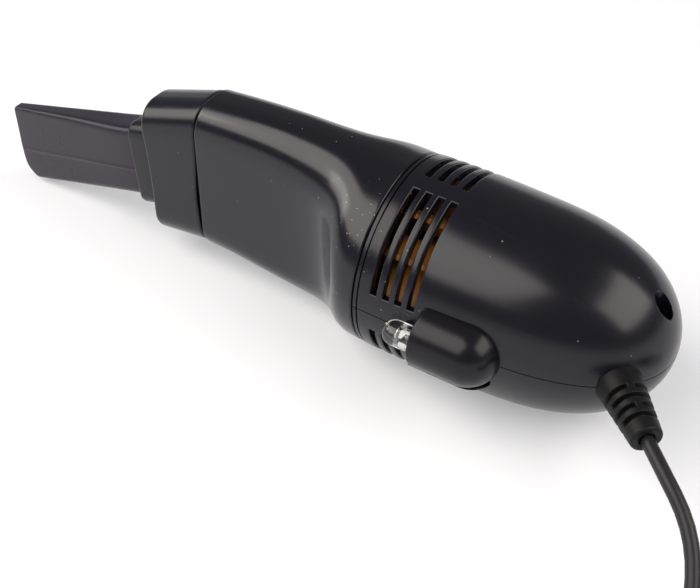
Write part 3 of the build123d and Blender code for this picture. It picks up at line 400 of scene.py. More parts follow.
def rounded_outline(half, top, bottom, corner, arc=11, side=9, lid=3):
    """Four quarter circles, joined by even steps along the straight sides. One outline per row."""
    half, top, bottom, corner = [np.atleast_1d(np.asarray(value, float))[:, None]
                                 for value in (half, top, bottom, corner)]
    corner = np.minimum(corner, np.minimum(half - 0.02, (top - bottom) / 2 - 0.02))
    centres = [(half - corner, top - corner), (corner - half, top - corner),
               (corner - half, bottom + corner), (half - corner, bottom + corner)]
    quarters = []
    for step, (y, z) in enumerate(centres):
        angle = quarter_turn(arc)[None, :] + step * np.pi / 2
        quarters.append(np.stack([y + corner * np.cos(angle), z + corner * np.sin(angle)], -1))
    outline = []
    for step, quarter in enumerate(quarters):
        following = quarters[(step + 1) % 4]
        count = lid if step % 2 == 0 else side
        share = np.linspace(0, 1, count + 2)[None, 1:-1, None]
        outline += [quarter, quarter[:, -1:] * (1 - share) + following[:, :1] * share]
    return np.concatenate(outline, 1)


def set_at(x, outline):
    """Outlines of (y, z), each set at its own x."""
    return np.concatenate([np.broadcast_to(x[:, None, None], outline.shape[:2] + (1,)), outline], -1)


# %% Neck surface
WALL = 1.6
RING_R = 20.2
NECK_START, NECK_HALF, NECK_TOP, NECK_BOTTOM = -46.2, 7.6, 20.2, -16.4
NECK_ROWS = [
    # x, half width, top, bottom, corner radius
    (NECK_START, NECK_HALF, NECK_TOP, NECK_BOTTOM, 6.6),
    (-39, NECK_HALF + 0.1, 20.75, -16.8, 6.7),
    (-31, NECK_HALF + 0.3, 21.2, -17.7, 7.0),
    (-24, NECK_HALF + 0.7, 21.4, -18.4, 7.6),
    (-18, NECK_HALF + 1.5, 21.4, -18.8, 8.7),
    (-13, NECK_HALF + 3.1, 21.3, -19.1, 10.4),
    (-9.5, NECK_HALF + 6.0, 21.1, -19.4, 13.3),
    (-6.8, NECK_HALF + 9.6, 20.8, -19.7, 16.9),
    (-4.6, 0.955 * RING_R, 20.5, -19.95, 0.94 * RING_R),
    (-2.4, 0.99 * RING_R, 20.3, -20.1, 0.985 * RING_R),
    (0, RING_R, RING_R, -RING_R, RING_R),
]


def wall_path(start, end, wall, rounding, inner=30, outer=110, steps=5):
    """Place and inset along a wall's section: along the inside, round a rim, back outside, round a rim."""
    turn = quarter_turn(steps)
    bow_x, bow_inset = rounding * (1 - np.cos(turn)), rounding * (1 - np.sin(turn))
    sign = 1 if end > start else -1
    inside = np.stack([np.linspace(end - sign * 0.2, start + sign * 0.2, inner), np.full(inner, wall)], -1)
    first = np.stack([start + sign * bow_x, bow_inset], -1)
    along = np.linspace(start + sign * rounding, end - sign * rounding, outer)[1:-1]
    outside = np.stack([along, np.zeros(len(along))], -1)
    second = np.stack([end - sign * bow_x[::-1], bow_inset[::-1]], -1)
    return np.concatenate([inside, [(start, wall - 0.2)], first, outside, second, [(end, wall - 0.2)]])


BELL_REACH, BELL_WIDTH = 40, 13.0  # in tenths of a millimetre
place, inset = wall_path(NECK_START, 0, WALL, 0.35).T
fine = np.arange(NECK_START, 0.05, 0.1)
bell = np.exp(-((np.arange(-BELL_REACH, BELL_REACH + 1) / BELL_WIDTH) ** 2) / 2)
bell /= bell.sum()
eased = [np.convolve(np.pad(column, BELL_REACH, mode="reflect", reflect_type="odd"), bell, "valid")
         for column in through_rows(NECK_ROWS, fine).T]
half, top, bottom, corner = [np.interp(place, fine, column) for column in eased]
outline = rounded_outline(half - inset, top - inset, bottom + inset, np.maximum(corner - inset, 0.5))
neck = from_grid("neck", set_at(place, outline), around_rows=True)
finish_piece(neck, "front", neck_black, ["front_housing"])

# %% [markdown]
# ## Cap
#
# The cap closes the neck and holds the collar. It is a short tube that leans in towards the front, with a
# softly rounded front edge, and its side stands a little lower than the neck's rim, which gives the dark
# step at the seam. On the near side the seam stands a little ajar. The front wall is a ring between the
# outline and the collar's opening, and it leans forward at the top.

# %% Cap surface
CAP_LENGTH, CAP_TOP, CAP_BOTTOM, CAP_INSET, CAP_CORNER = 13.6, 15.6, -17.8, 0.3, 6.2
CAP_EDGE, CAP_REAR_EDGE, SEAM_GAP, SEAM_AJAR = 0.7, 0.6, 0.35, 0.75
LEAN_FOOT, LEAN_HEAD, ROOF_SLOPE = 0.35, 2.4, 0.3
CAP_SEAM, CAP_FRONT = NECK_START - SEAM_GAP, NECK_START - CAP_LENGTH
DROOP, TILT, NOZZLE_RISE = math.radians(15.0), math.radians(5.5), -0.6
NOZZLE_ALONG = np.array([-math.cos(DROOP), 0, -math.sin(DROOP)])
COLLAR_HALF, COLLAR_HEIGHT, COLLAR_OUT, COLLAR_IN = 5.6, 10.4, 6.8, 9.0
COLLAR_CORNER, COLLAR_CLEARANCE = 3.0, 0.55


def cap_outline(x, inset):
    """The cap's section at x: sizes change evenly from the seam to the front face."""
    share = (CAP_SEAM - x) / (CAP_SEAM - CAP_FRONT)
    top = NECK_TOP - CAP_INSET + (CAP_TOP - NECK_TOP + CAP_INSET) * share
    bottom = NECK_BOTTOM + CAP_INSET + (CAP_BOTTOM - NECK_BOTTOM - CAP_INSET) * share
    half = np.full_like(x, NECK_HALF - CAP_INSET)
    return rounded_outline(half - inset, top - inset, bottom + inset, np.maximum(CAP_CORNER - inset, 0.4))


def nozzle_points(reach, outline):
    """Outline points across the nozzle, at a reach along its drooping axis, in a plane that leans back."""
    up = np.array([-math.sin(TILT), 0, math.cos(TILT)])
    base = np.array([CAP_FRONT, 0, NOZZLE_RISE]) + np.asarray(reach)[:, None] * NOZZLE_ALONG
    side = outline[..., :1] * np.array([0, 1.0, 0])
    return base[:, None, :] + side + outline[..., 1:] * up


def lean(points, share):
    """Slide cap points forward, most at the top, and down by the roof's slope. share is 1 at the front."""
    height = np.clip((points[..., 2] - CAP_BOTTOM) / (CAP_TOP - CAP_BOTTOM), 0, 1.2)
    forward = (LEAN_FOOT + LEAN_HEAD * height**4) * share
    return points - np.stack([forward, 0 * forward, ROOF_SLOPE * forward * height], -1)


turn = quarter_turn(7)
place, inset = np.concatenate([
    np.stack([np.linspace(CAP_SEAM, CAP_FRONT + WALL, 8), np.full(8, WALL)], -1)[::-1],
    [(CAP_SEAM, CAP_REAR_EDGE)],
    np.stack([CAP_SEAM - CAP_REAR_EDGE * (1 - np.cos(turn)), CAP_REAR_EDGE * (1 - np.sin(turn))], -1)[1:],
    np.stack([np.linspace(CAP_SEAM - 0.8, CAP_FRONT + CAP_EDGE + 0.05, 16), np.zeros(16)], -1),
    np.stack([CAP_FRONT + CAP_EDGE * (1 - np.sin(turn)), CAP_EDGE * (1 - np.cos(turn))], -1),
]).T
grid = set_at(place, cap_outline(place, inset))
grid = lean(grid, np.clip((CAP_SEAM - grid[..., 0]) / CAP_LENGTH, 0, 1) ** 2)
near_seam = (grid[..., 1] < 0) & (grid[..., 0] > CAP_SEAM - 0.9)
grid[..., 0] -= SEAM_AJAR * np.exp(-(((grid[..., 2] + 3) / 8) ** 2)) * near_seam
opening = rounded_outline(COLLAR_HALF + COLLAR_CLEARANCE, COLLAR_HEIGHT + COLLAR_CLEARANCE,
                          -COLLAR_HEIGHT - COLLAR_CLEARANCE, COLLAR_CORNER + COLLAR_CLEARANCE)
hole = nozzle_points([0.0], opening)
hole[..., 0] = CAP_FRONT
hole = lean(hole, 1.0)
share = np.linspace(0, 1, 5)[1:, None, None]
front_wall = grid[-1:] * (1 - share) + hole * share
sleeve = nozzle_points(np.linspace(-0.8, -COLLAR_IN - 0.6, 8), np.repeat(opening, 8, 0))
back_wall = sleeve[-1:] * (1 - share) + grid[:1] * share
cap = from_grid("cap", np.concatenate([grid, front_wall, sleeve, back_wall[:-1]]), around_rows=True)
finish_piece(cap, "front", cap_black, ["front_cap"])

# %% [markdown]
# The cap's tongue goes into the neck. It shows when the front is opened, and as a dark line at the seam.

# %% Cap tongue
TONGUE_FIT, TONGUE_CORNER = WALL + 0.25, 5.1
place, step = np.array([(-1.4, 0), (3.8, 0), (4.0, 0.2), (4.0, 1.1), (-1.4, 1.1)]).T  # past the seam, inwards
inset = TONGUE_FIT + step
outline = rounded_outline(NECK_HALF - inset, NECK_TOP - inset, NECK_BOTTOM + inset, TONGUE_CORNER - step)
grid = set_at(CAP_SEAM + place, outline)
tongue = from_grid("cap_tongue", grid, around_rows=True, smooth=False)
finish_piece(tongue, "front", cap_black)

# %% [markdown]
# ## Collar
#
# The nozzle is glued into a hard black collar, and the collar slides into the cap. Both follow the same
# drooping axis, so each of their sections is a rounded outline set across that axis. The collar's profile
# goes through the bore, round the pocket for the nozzle, over the front edge and back along the outside.

# %% Collar surface
reach, half, height = np.array([
    # along the axis, half width, half height
    (-COLLAR_IN, 3.5, 7.7), (1.8, 3.5, 7.7), (1.8, 4.46, 8.76), (6.5, 4.46, 8.76), (6.75, 4.62, 8.92),
    (COLLAR_OUT, 4.9, 9.5), (6.76, 5.2, 9.98), (6.62, 5.42, 10.2), (6.35, 5.56, 10.35),
    *[(place, COLLAR_HALF, COLLAR_HEIGHT) for place in (6.0, 2.0, -4.0, -8.8)],
    (-COLLAR_IN, COLLAR_HALF - 0.2, COLLAR_HEIGHT - 0.2),
]).T
outline = rounded_outline(half, height, -height, np.maximum(COLLAR_CORNER - COLLAR_HALF + half, 0.9))
collar = from_grid("collar", nozzle_points(reach, outline), around_rows=True)
finish_piece(collar, "nozzle", collar_black, ["nozzle_collar"])

# %% [markdown]
# ## Nozzle
#
# The nozzle is a soft, smoky moulding: wide and short where it is glued, narrow and tall at its mouth. A
# fine parting line runs along each side, where the halves of the tool met. It is a low ridge in the
# outline: three of its columns are drawn together, and the middle one stands out. The mouth bulges a little
# and curves back at its lower corner: near it every point slides along the axis by a curve of its height.

# %% Nozzle surface
NOZZLE_ROWS = [
    # reach, half width, half height, corner radius
    (1.8, 4.4, 8.7, 1.9), (8.8, 4.25, 8.7, 1.9), (27.8, 2.9, 9.35, 1.5), (48.8, 1.55, 10.0, 0.9),
]
NOZZLE_WALL, NOZZLE_START, NOZZLE_END, MOUTH_HALF = 0.9, 1.8, 48.8, 10.0
PARTING, PARTING_STEP, PARTING_OUT, PARTING_COLUMNS = -1.55, 0.13, 0.035, ((47, -1), (101, 1))
MOUTH_SLIDES = [
    # height over the axis, slide
    (-10.0, -2.9), (-9.2, -1.7), (-8.0, -0.5), (-6.5, 0.45), (-4.5, 0.83), (-1.5, 0.77), (3.5, 0.24),
    (10.0, -0.4),
]
SLIDE_START = 36

reach, inset = wall_path(NOZZLE_START, NOZZLE_END, NOZZLE_WALL, 0.28, inner=24, outer=70).T
half, full_height, corner = through_rows(NOZZLE_ROWS, reach).T
half, height = half - inset, full_height - inset
outline = rounded_outline(half, height, -height, np.maximum(corner - inset, 0.4), arc=13, side=31)
for middle, order in PARTING_COLUMNS:
    outline[:, middle - 1:middle + 2, 1] = PARTING + PARTING_STEP * order * np.array([-1, 0, 1])
    outline[:, middle, 0] *= 1 + PARTING_OUT * (inset < 0.01)
fine = np.linspace(-MOUTH_HALF, MOUTH_HALF, 201)
height_now = outline[..., 1] * (MOUTH_HALF / full_height)[:, None]
slide = np.interp(height_now, fine, through_rows(MOUTH_SLIDES, fine)[:, 0])
slide *= np.clip((reach[:, None] - SLIDE_START) / (NOZZLE_END - SLIDE_START), 0, 1) ** 2
grid = nozzle_points(reach, outline) + slide[..., None] * NOZZLE_ALONG
nozzle = from_grid("nozzle", grid, around_rows=True)

smoky_nozzle = finish("smoky_nozzle", (0.027, 0.020, 0.038), 0.28, spread=0.1, tint=0.3, scratches=0.4,
                      dust=0.3, Specular_IOR_Level=0.4, Transmission_Weight=0.35, IOR=1.40)
finish_piece(nozzle, "nozzle", smoky_nozzle, ["nozzle_tube"])

# %% [markdown]
# ## The two shells of the motor housing
#
# The housing is a surface of revolution, split level along its axis, with curved vents cut through it. A
# spin and many cutters would work. Here the grid's own lines are laid along the vents' edges instead, the
# cells in the vents are left out, and walls are built wherever a kept cell meets a gap. That keeps the
# mesh clean for the small bevel that softens every moulded edge. The belly is flat where it rests: there
# the outer skin stops at the table, and the inner one stays above it.

# %% Housing profile
HOUSING_LENGTH = 56.8
PROFILE = np.array([(0, RING_R), (9, 20.33), (25, 19.81), (35, 18.92), (42, 17.2), (48, 14.45),
                    (52.5, 10.7), (55.6, 5.9), (HOUSING_LENGTH, 0.0)])


def profile_curve(count=400):
    """The outer profile: a cubic through the points, with the chord as its parameter and set end slopes."""
    steps = np.linalg.norm(np.diff(PROFILE, axis=0), axis=1)
    t = np.concatenate([[0], np.cumsum(steps)])
    size = len(t)
    matrix, right_side = np.zeros((size, size)), np.zeros((size, 2))
    inner = np.arange(1, size - 1)
    before, after = steps[:-1], steps[1:]
    matrix[inner, inner - 1], matrix[inner, inner + 1] = after, before
    matrix[inner, inner] = 2 * (before + after)
    rate = np.diff(PROFILE, axis=0) / steps[:, None]
    right_side[1:-1] = 3 * (after[:, None] * rate[:-1] + before[:, None] * rate[1:])
    matrix[0, 0] = matrix[-1, -1] = 1
    right_side[0], right_side[-1] = (1, 0.03), (0, -1)
    return cubic(t, PROFILE, np.linalg.solve(matrix, right_side), np.linspace(0, t[-1], count))


curve = profile_curve()
slope = np.gradient(curve, axis=0)
slope /= np.linalg.norm(slope, axis=1)[:, None]
inner_curve = curve + np.stack([slope[:, 1], -slope[:, 0]], -1) * WALL
inner_curve[-1] = (HOUSING_LENGTH - WALL, 0)
print("profile ends", curve[0], curve[-1])

# %% [markdown]
# The rows of the grid are places along the profile. Each vent needs a row at both of its edges, and the
# columns are angles with one at each end of the vents. The extra rows and columns between are spread so
# that the cells stay close to square.

# %% Shell grid
RIM_LENGTH, RIM_STEP, GROOVE, SPLIT_GAP = 1.5, 0.05, 0.45, 0.2
SLOT_FIRST, SLOT_PITCH, SLOT_WIDTH, SLOT_COUNT = 4.5, 2.65, 1.25, 4
SLOT_SPANS = [(29.0, 92.6), (104.0, 167.5)]
WINDOW_START, WINDOW_END, WINDOW_ANGLE = 29.25, 34.75, 3.72
STRAIGHT_END, BOW_STEP = 40.0, 9
BELLY_INSIDE, VENT_ROUND, EDGE_ROUND = 0.0015, 0.00034, 0.00013  # metres


def spread_between(marks, step):
    """Values through every mark, with even steps of about the given size between them."""
    marks = np.unique(np.round(marks, 5))
    runs = [np.linspace(a, b, max(1, int(round((b - a) / step))) + 1)[:-1] for a, b in zip(marks, marks[1:])]
    return np.concatenate(runs + [marks[-1:]])


slot_edges = [SLOT_FIRST + SLOT_PITCH * k + side * SLOT_WIDTH / 2
              for k in range(SLOT_COUNT) for side in (-1, 1)]
straight = spread_between([RIM_LENGTH, *slot_edges, WINDOW_START, WINDOW_END, STRAIGHT_END], 1.0)
bow_start = np.searchsorted(curve[:, 0], STRAIGHT_END) + 6
bow = curve[bow_start + BOW_STEP * np.arange((len(curve) - 1 - bow_start) // BOW_STEP)]
row_x = np.concatenate([[0, GROOVE, GROOVE, 1.1, 1.1, RIM_LENGTH], straight, bow[:, 0], [HOUSING_LENGTH]])
row_r = np.concatenate([RING_R - np.array([0.6, 0.6, RIM_STEP, RIM_STEP, 0.5, 0.5]),
                        np.interp(straight, curve[:, 0], curve[:, 1]), bow[:, 1], [0]])
reach = np.interp(row_x, curve[:, 0], np.arange(len(curve)))
inner_x, inner_r = [np.interp(reach, np.arange(len(curve)), column) for column in inner_curve.T]
inner_x[:6] = (0, GROOVE - 0.05, GROOVE + 0.05, 1.05, 1.15, RIM_LENGTH - 0.01)
inner_r[:6] = RING_R - WALL
inner_r[-1] = 0


def walled(outer, inner, kept):
    """A closed wall: kept cells outside and inside, and a strip wherever a kept cell has no neighbour."""
    rows, columns = outer.shape[:2]
    cells = grid_faces(rows, columns, around_columns=False).reshape(rows - 1, columns - 1, 4)
    count = rows * columns
    faces = [cells[kept], cells[kept][:, ::-1] + count]
    padded = np.pad(kept, 1)
    neighbours = [(padded[:-2, 1:-1], 0, 1), (padded[1:-1, 2:], 1, 2),
                  (padded[2:, 1:-1], 2, 3), (padded[1:-1, :-2], 3, 0)]
    for mask, a, b in neighbours:
        edge = cells[kept & ~mask]
        faces.append(np.stack([edge[:, b], edge[:, a], edge[:, a] + count, edge[:, b] + count], -1))
    return np.concatenate([outer.reshape(-1, 3), inner.reshape(-1, 3)]), np.concatenate(faces)


def make_shell(name, side):
    """One shell. side is 1 above the split and -1 below it."""
    angles = side * spread_between([0, WINDOW_ANGLE, *SLOT_SPANS[0], *SLOT_SPANS[1], 180], 3.0)
    outer = round_axis(row_x, row_r, np.radians(angles))
    inner = round_axis(inner_x, inner_r, np.radians(angles))
    mid_x = (row_x[1:] + row_x[:-1]) / 2
    mid_a = np.abs(angles[1:] + angles[:-1]) / 2
    in_slot = np.abs((mid_x - SLOT_FIRST + SLOT_PITCH / 2) % SLOT_PITCH - SLOT_PITCH / 2) < SLOT_WIDTH / 2
    in_slot &= (mid_x > SLOT_FIRST - 1) & (mid_x < slot_edges[-1])
    in_span = sum((mid_a > a) & (mid_a < b) for a, b in SLOT_SPANS).astype(bool)
    in_window = ((mid_x > WINDOW_START) & (mid_x < WINDOW_END))[:, None] & (mid_a < WINDOW_ANGLE)[None, :]
    points, faces = walled(outer, inner, ~((in_slot[:, None] & in_span[None, :]) | in_window))
    points[:, 2] += side * SPLIT_GAP / 2
    placed = on_table(points)
    lowest = np.where(np.arange(len(placed)) < len(placed) // 2, 0.0, BELLY_INSIDE)
    placed[:, 2] = np.maximum(placed[:, 2], lowest)
    return new_object(name, placed, faces)


def soften_vents(shell):
    """Round the vents' outer edges, which makes the bars between them look like ribs."""
    work = bmesh.new()
    work.from_mesh(shell.data)
    work.verts.ensure_lookup_table()
    place = off_table([vertex.co[:] for vertex in work.verts])
    radius = np.hypot(place[:, 1], place[:, 2])
    on_skin = (radius > RING_R - 0.15) & (np.abs(place[:, 2]) > 1)
    on_skin &= (place[:, 0] > SLOT_FIRST - 1) & (place[:, 0] < slot_edges[-1] + 0.3)
    edges = [edge for edge in work.edges
             if on_skin[edge.verts[0].index] and on_skin[edge.verts[1].index]
             and len(edge.link_faces) == 2 and edge.calc_face_angle() > 1.0]
    bmesh.ops.bevel(work, geom=edges, offset=VENT_ROUND, segments=3, profile=0.5, affect="EDGES",
                    clamp_overlap=True)
    for face in work.faces:
        face.smooth = True
    work.to_mesh(shell.data)
    work.free()
    print(shell.name, "rounded edges", len(edges))


# %% [markdown]
# Two cutters take out the rest: the bed of the lamp, which has the lamp's own dome with a small gap all
# round, and the well of the screw at the rear.

# %% Shells
LAMP_R, LAMP_FLANGE_R, LAMP_Y, LAMP_TIP, LAMP_END = 2.5, 2.9, -22.0, 8.4, 15.6
LAMP_GAP, BED_END = 0.12, 20.0
SCREW_X, SCREW_SEAT, SCREW_HEAD_R, BOSS_R = 52.3, 3.4, 1.75, 3.1
TINY = 1e-4


def lamp_bed():
    """The cutter for the lamp."""
    bow, radius = quarter_turn(14), LAMP_R + LAMP_GAP
    x = np.concatenate([LAMP_TIP + LAMP_R - radius * np.cos(bow), [BED_END, BED_END]])
    r = np.concatenate([radius * np.sin(bow) + TINY, [radius, TINY]])
    return from_grid("bed", round_axis(x, r, full_turn(64), LAMP_Y), smooth=False)


def round_screw(rings):
    """Rings of a radius and a height round the screw's upright axis."""
    rings, turn = np.asarray(rings, float), full_turn(64)
    x, y = SCREW_X + rings[:, :1] * np.cos(turn), rings[:, :1] * np.sin(turn)
    return np.stack(np.broadcast_arrays(x, y, rings[:, 1:]), -1)


def cut(piece, cutter):
    """Take the cutter's volume out of the piece, and remove the cutter."""
    with_modifier(piece, "BOOLEAN", operation="DIFFERENCE", object=cutter, solver="EXACT")
    settle_modifiers(piece)
    bpy.data.objects.remove(cutter)


upper, lower = make_shell("upper_shell_skin", 1), make_shell("lower_shell_skin", -1)
for shell in (upper, lower):
    soften_vents(shell)
    cut(shell, lamp_bed())
well_r = SCREW_HEAD_R + 0.25
well = round_screw([(TINY, 0.5), (well_r, 0.5), (well_r, 30.0), (TINY, 30.0)])
cut(upper, from_grid("well", well, smooth=False))
for shell, node in ((upper, "upper_shell"), (lower, "lower_shell")):
    with_modifier(shell, "BEVEL", width=EDGE_ROUND, segments=2, limit_method="ANGLE",
                  angle_limit=math.radians(50))
    with_modifier(shell, "WEIGHTED_NORMAL", keep_sharp=True)
    settle_modifiers(shell)
    finish_piece(shell, "housing", shell_black, [node])

# %% [markdown]
# ## Inside the shells
#
# The ribs that hold the motor, and the spigot that the front slides over, belong to the shells. They are
# half rings: one closed outline in the plane of the axis, carried half way round. Where a rib leaves room
# for wires, each circle starts at the angle whose sine is the wanted height over its radius.

# %% Half rings
SHELL_BORE = RING_R - WALL
RIBS = [
    # start, end, inner radius, outer radius, level of the ends
    (-3.4, 2.5, 16.75, 18.15, SPLIT_GAP / 2), (14.55, 15.55, 17.4, SHELL_BORE + 0.4, 0.5),
    (17.15, 18.55, 16.4, SHELL_BORE + 0.2, 0.5), (22.2, 23.6, 10.25, SHELL_BORE - 0.1, 7.0),
    (36.0, 37.4, 10.25, 17.6, 7.0),
]


def half_ring(start, end, inner_r, outer_r, level, side, count=49):
    """A rectangle carried from the far side to the near side, and never nearer to the split than level."""
    r = np.array([inner_r, inner_r, outer_r, outer_r])
    low = np.arcsin(level / r)[:, None]
    turn = low + (np.pi - 2 * low) * np.linspace(0, 1, count)
    grid = round_axis([start, end, end, start], r, side * turn)
    sides = grid_faces(4, count, around_rows=True, around_columns=False)
    first = np.arange(4) * count
    return grid, np.concatenate([sides, [first, (first + count - 1)[::-1]]])


for name, side in (("upper_ribs", 1), ("lower_ribs", -1)):
    points, faces = joined([half_ring(*rib, side) for rib in RIBS])
    ribs = new_object(name, on_table(points), faces, smooth=False)
    finish_piece(ribs, "housing", shell_black)

# %% [markdown]
# ## Screw well
#
# One screw at the rear holds the shells together. It sits at the bottom of a round well, in a boss whose
# top follows the dome just under its skin: the height there comes from the profile's radius.

# %% Screw well surface
WELL_R, SKIN_DEPTH, ABOVE = SCREW_HEAD_R + 0.15, 0.55, 99
grid = round_screw([(1.1, 0.05), (1.1, 3.3), (1.2, SCREW_SEAT), (WELL_R - 0.1, SCREW_SEAT), (WELL_R, 3.5),
                    (WELL_R, ABOVE), (BOSS_R, ABOVE), (BOSS_R, 0.05)])
radius = np.interp(grid[..., 0], curve[:, 0], curve[:, 1])
skin = np.sqrt(np.maximum(radius**2 - grid[..., 1] ** 2, 0)) - SKIN_DEPTH
grid[..., 2] = np.minimum(grid[..., 2], skin)
well = from_grid("screw_well", grid, around_rows=True)
with_modifier(well, "EDGE_SPLIT", split_angle=math.radians(40))
settle_modifiers(well)
finish_piece(well, "housing", shell_black)

# %% [markdown]
# ## Lamp cowl
#
# The lamp's cowl is a bar with a round rear end, half sunk in the side of the housing. Its front face is
# flat, and the lamp sits in it off centre, nearer to the outside. So the rings of the surface start
# round the lamp's axis and slide over to the cowl's own axis as they cross the front face. The edge is
# rounded less where the lamp comes close to it.

# %% Cowl surface
COWL_R, COWL_Y, COWL_START, COWL_END, COWL_EDGE = 6.5, -19.1, 15.0, 31.0, -6.1
HOLE_R, HOLE_END = LAMP_FLANGE_R + 0.1, 18.2
turn = full_turn(128)
toward_lamp = np.maximum(0, -np.cos(turn)) ** 2
soft = 0.8 - 0.42 * toward_lamp


def ring_at(x, radius, centre_y=COWL_Y):
    """One ring round a line parallel to the motor axis. x and radius may change round the ring."""
    y, z = centre_y + radius * np.cos(turn), radius * np.sin(turn)
    return np.stack([np.broadcast_to(x, turn.shape), y, z], -1)


rows = [ring_at(x, r, LAMP_Y) for x, r in ((HOLE_END, TINY), (HOLE_END, HOLE_R), (COWL_START + 0.12, HOLE_R),
                                           (COWL_START + 0.03, HOLE_R + 0.03), (COWL_START, HOLE_R + 0.1))]
flat_edge = ring_at(COWL_START, COWL_R - soft)
rows += [rows[-1] * (1 - share) + flat_edge * share for share in (0.35, 0.7)]
rows += [ring_at(COWL_START + soft * (1 - math.cos(a)), COWL_R - soft + soft * math.sin(a))
         for a in quarter_turn(8)]
rows += [ring_at(x, COWL_R) for x in np.linspace(COWL_START + 1.2, COWL_END - COWL_R, 14)]
rows += [ring_at(COWL_END - COWL_R + COWL_R * math.sin(b), COWL_R * math.cos(b) + TINY)
         for b in quarter_turn(26)[1:]]
grid = np.stack(rows)
grid[..., 2] = np.maximum(grid[..., 2], COWL_EDGE)
cowl = from_grid("lamp_cowl", grid)
finish_piece(cowl, "housing", cowl_black)

# %% [markdown]
# Under the cowl the lower shell has a shallow pad that meets it in a fine line. It is the low end of a
# larger bar of the same kind, with everything above the meeting line pressed flat.

# %% Pad surface
PAD_R, PAD_Y, PAD_Z, PAD_START, PAD_END = 7.4, -17.6, -0.6, 14.0, 32.2
PAD_TOP, PAD_BULGE = COWL_EDGE - SPLIT_GAP, PAD_END - PAD_R
depth = PAD_Z - PAD_TOP
reach_end = math.sqrt(PAD_R**2 - depth**2)
x = np.concatenate([[PAD_START], np.linspace(PAD_START, PAD_BULGE, 14),
                    PAD_BULGE + reach_end * np.sin(quarter_turn(24)[1:])])
radius = np.sqrt(PAD_R**2 - np.maximum(x - PAD_BULGE, 0) ** 2)
half = np.arccos(np.clip(depth / radius, -1, 1))[:, None]
arc = round_axis(x, radius, -np.pi / 2 + half * np.linspace(-1, 1, 41), PAD_Y, PAD_Z)
share = np.linspace(0, 1, 12)[None, 1:-1, None]
lid = arc[:, -1:] * (1 - share) + arc[:, :1] * share
lid[..., 2] = PAD_TOP
grid = np.concatenate([arc, lid], 1)
grid[0, :, 1:] = PAD_Y, PAD_TOP - 0.9
pad = from_grid("cowl_pad", grid)
finish_piece(pad, "housing", shell_black)

# %% [markdown]
# ## Lamp
#
# The lamp is a clear 5 mm light-emitting diode. Its dome and flange are one turned profile of clear
# resin. In the resin stand two flat posts, and the larger carries a small cup for the chip. The posts are
# what makes a clear lamp read as a lamp, so they are separate metal pieces inside the resin.

# %% Lamp surfaces
FLANGE = [(12.5, LAMP_R), (14.55, LAMP_R), (14.6, LAMP_R + 0.06), (14.6, LAMP_FLANGE_R - 0.08),
          (14.68, LAMP_FLANGE_R), (15.5, LAMP_FLANGE_R), (LAMP_END, LAMP_FLANGE_R - 0.1), (LAMP_END, TINY)]
CUP = [(12.2, TINY), (12.2, 0.5), (11.75, 0.78), (11.55, 0.86), (11.55, 0.7), (11.95, 0.4), (11.95, TINY)]
CUP_RISE, POST_THICK = 0.3, 0.5
POSTS = {
    # outlines of (x, z)
    "lamp_anvil": [(15.5, 1.55), (13.4, 1.75), (12.3, 1.25), (12.1, -0.35), (12.9, -0.35), (13.6, 0.9),
                   (15.5, 1.0)],
    "lamp_post": [(15.5, -1.0), (14.0, -0.75), (12.5, -0.8), (12.4, -1.25), (13.8, -1.6), (15.5, -1.55)],
}


def post(name, outline):
    """A flat post: an outline of (x, z) points, given a thickness across y and closed on both sides."""
    x, z = np.array(outline).T
    points = [np.stack([x, np.full(len(x), LAMP_Y + side * POST_THICK / 2), z], -1) for side in (-1, 1)]
    here = np.arange(len(x))
    after = (here + 1) % len(x)
    rim = np.stack([here, after, after + len(x), here + len(x)], -1).tolist()
    return new_object(name, on_table(np.concatenate(points)),
                      rim + [here.tolist()[::-1], (here + len(x)).tolist()], smooth=False)


bow = quarter_turn(18)
dome = np.stack([LAMP_TIP + LAMP_R * (1 - np.cos(bow)), LAMP_R * np.sin(bow) + TINY], -1)
resin = from_grid("lamp_resin", round_axis(*np.concatenate([dome, FLANGE]).T, full_turn(64), LAMP_Y))
clear_lamp = finish("clear_lamp", (0.93, 0.94, 0.95), 0.03, depth=0.0, spread=0.02, tint=0.0, scratches=0.1,
                    Transmission_Weight=1.0, IOR=1.5)
finish_piece(resin, "housing", clear_lamp, ["lamp"])
tinned = finish("tinned", (0.75, 0.74, 0.72), 0.28, spread=0.1, Metallic=1.0)
posts = [post(name, outline) for name, outline in POSTS.items()]
cup = from_grid("lamp_cup", round_axis(*np.array(CUP).T, full_turn(32), LAMP_Y, CUP_RISE))
for piece in (*posts, cup):
    finish_piece(piece, "housing", tinned)

# %% [markdown]
# ## Strain relief
#
# A rubber sleeve keeps the lead from kinking. Grooves are cut round it in bands, and each band leaves two
# spines, on alternate sides, so that it bends like a chain. The radius is one formula: the cone's radius,
# less the groove's depth where a smooth step says that there is a band and no spine.

# %% Strain relief surface
RELIEF_START, RELIEF_ANGLE = np.array([51.0, -12.0998, 0]), math.radians(-47.4)
RELIEF_R, RELIEF_TIP_R, RELIEF_LENGTH, RELIEF_BACK = 4.3, 2.9, 12.8, -2.5
BAND_COUNT, BAND_FIRST, BAND_PITCH, BAND_WIDTH, BAND_DEPTH, SPINE_HALF = 4, 2.95, 2.0, 0.9, 1.1, 0.75
BAND_SOFT, SPINE_SOFT, BANDED_START, BANDED_END = 0.16, 0.35, 2.7, 10.3
LEAD_HOLE, TIP_ROUND = 1.42, 0.5
relief_along = np.array([math.cos(RELIEF_ANGLE), math.sin(RELIEF_ANGLE), 0])
relief_side = np.array([-math.sin(RELIEF_ANGLE), math.cos(RELIEF_ANGLE), 0])


def step_up(value, edge, soft):
    """0 below the edge, 1 above it, and a smooth rise over the soft width."""
    return ease(np.clip((value - edge) / soft + 0.5, 0, 1))


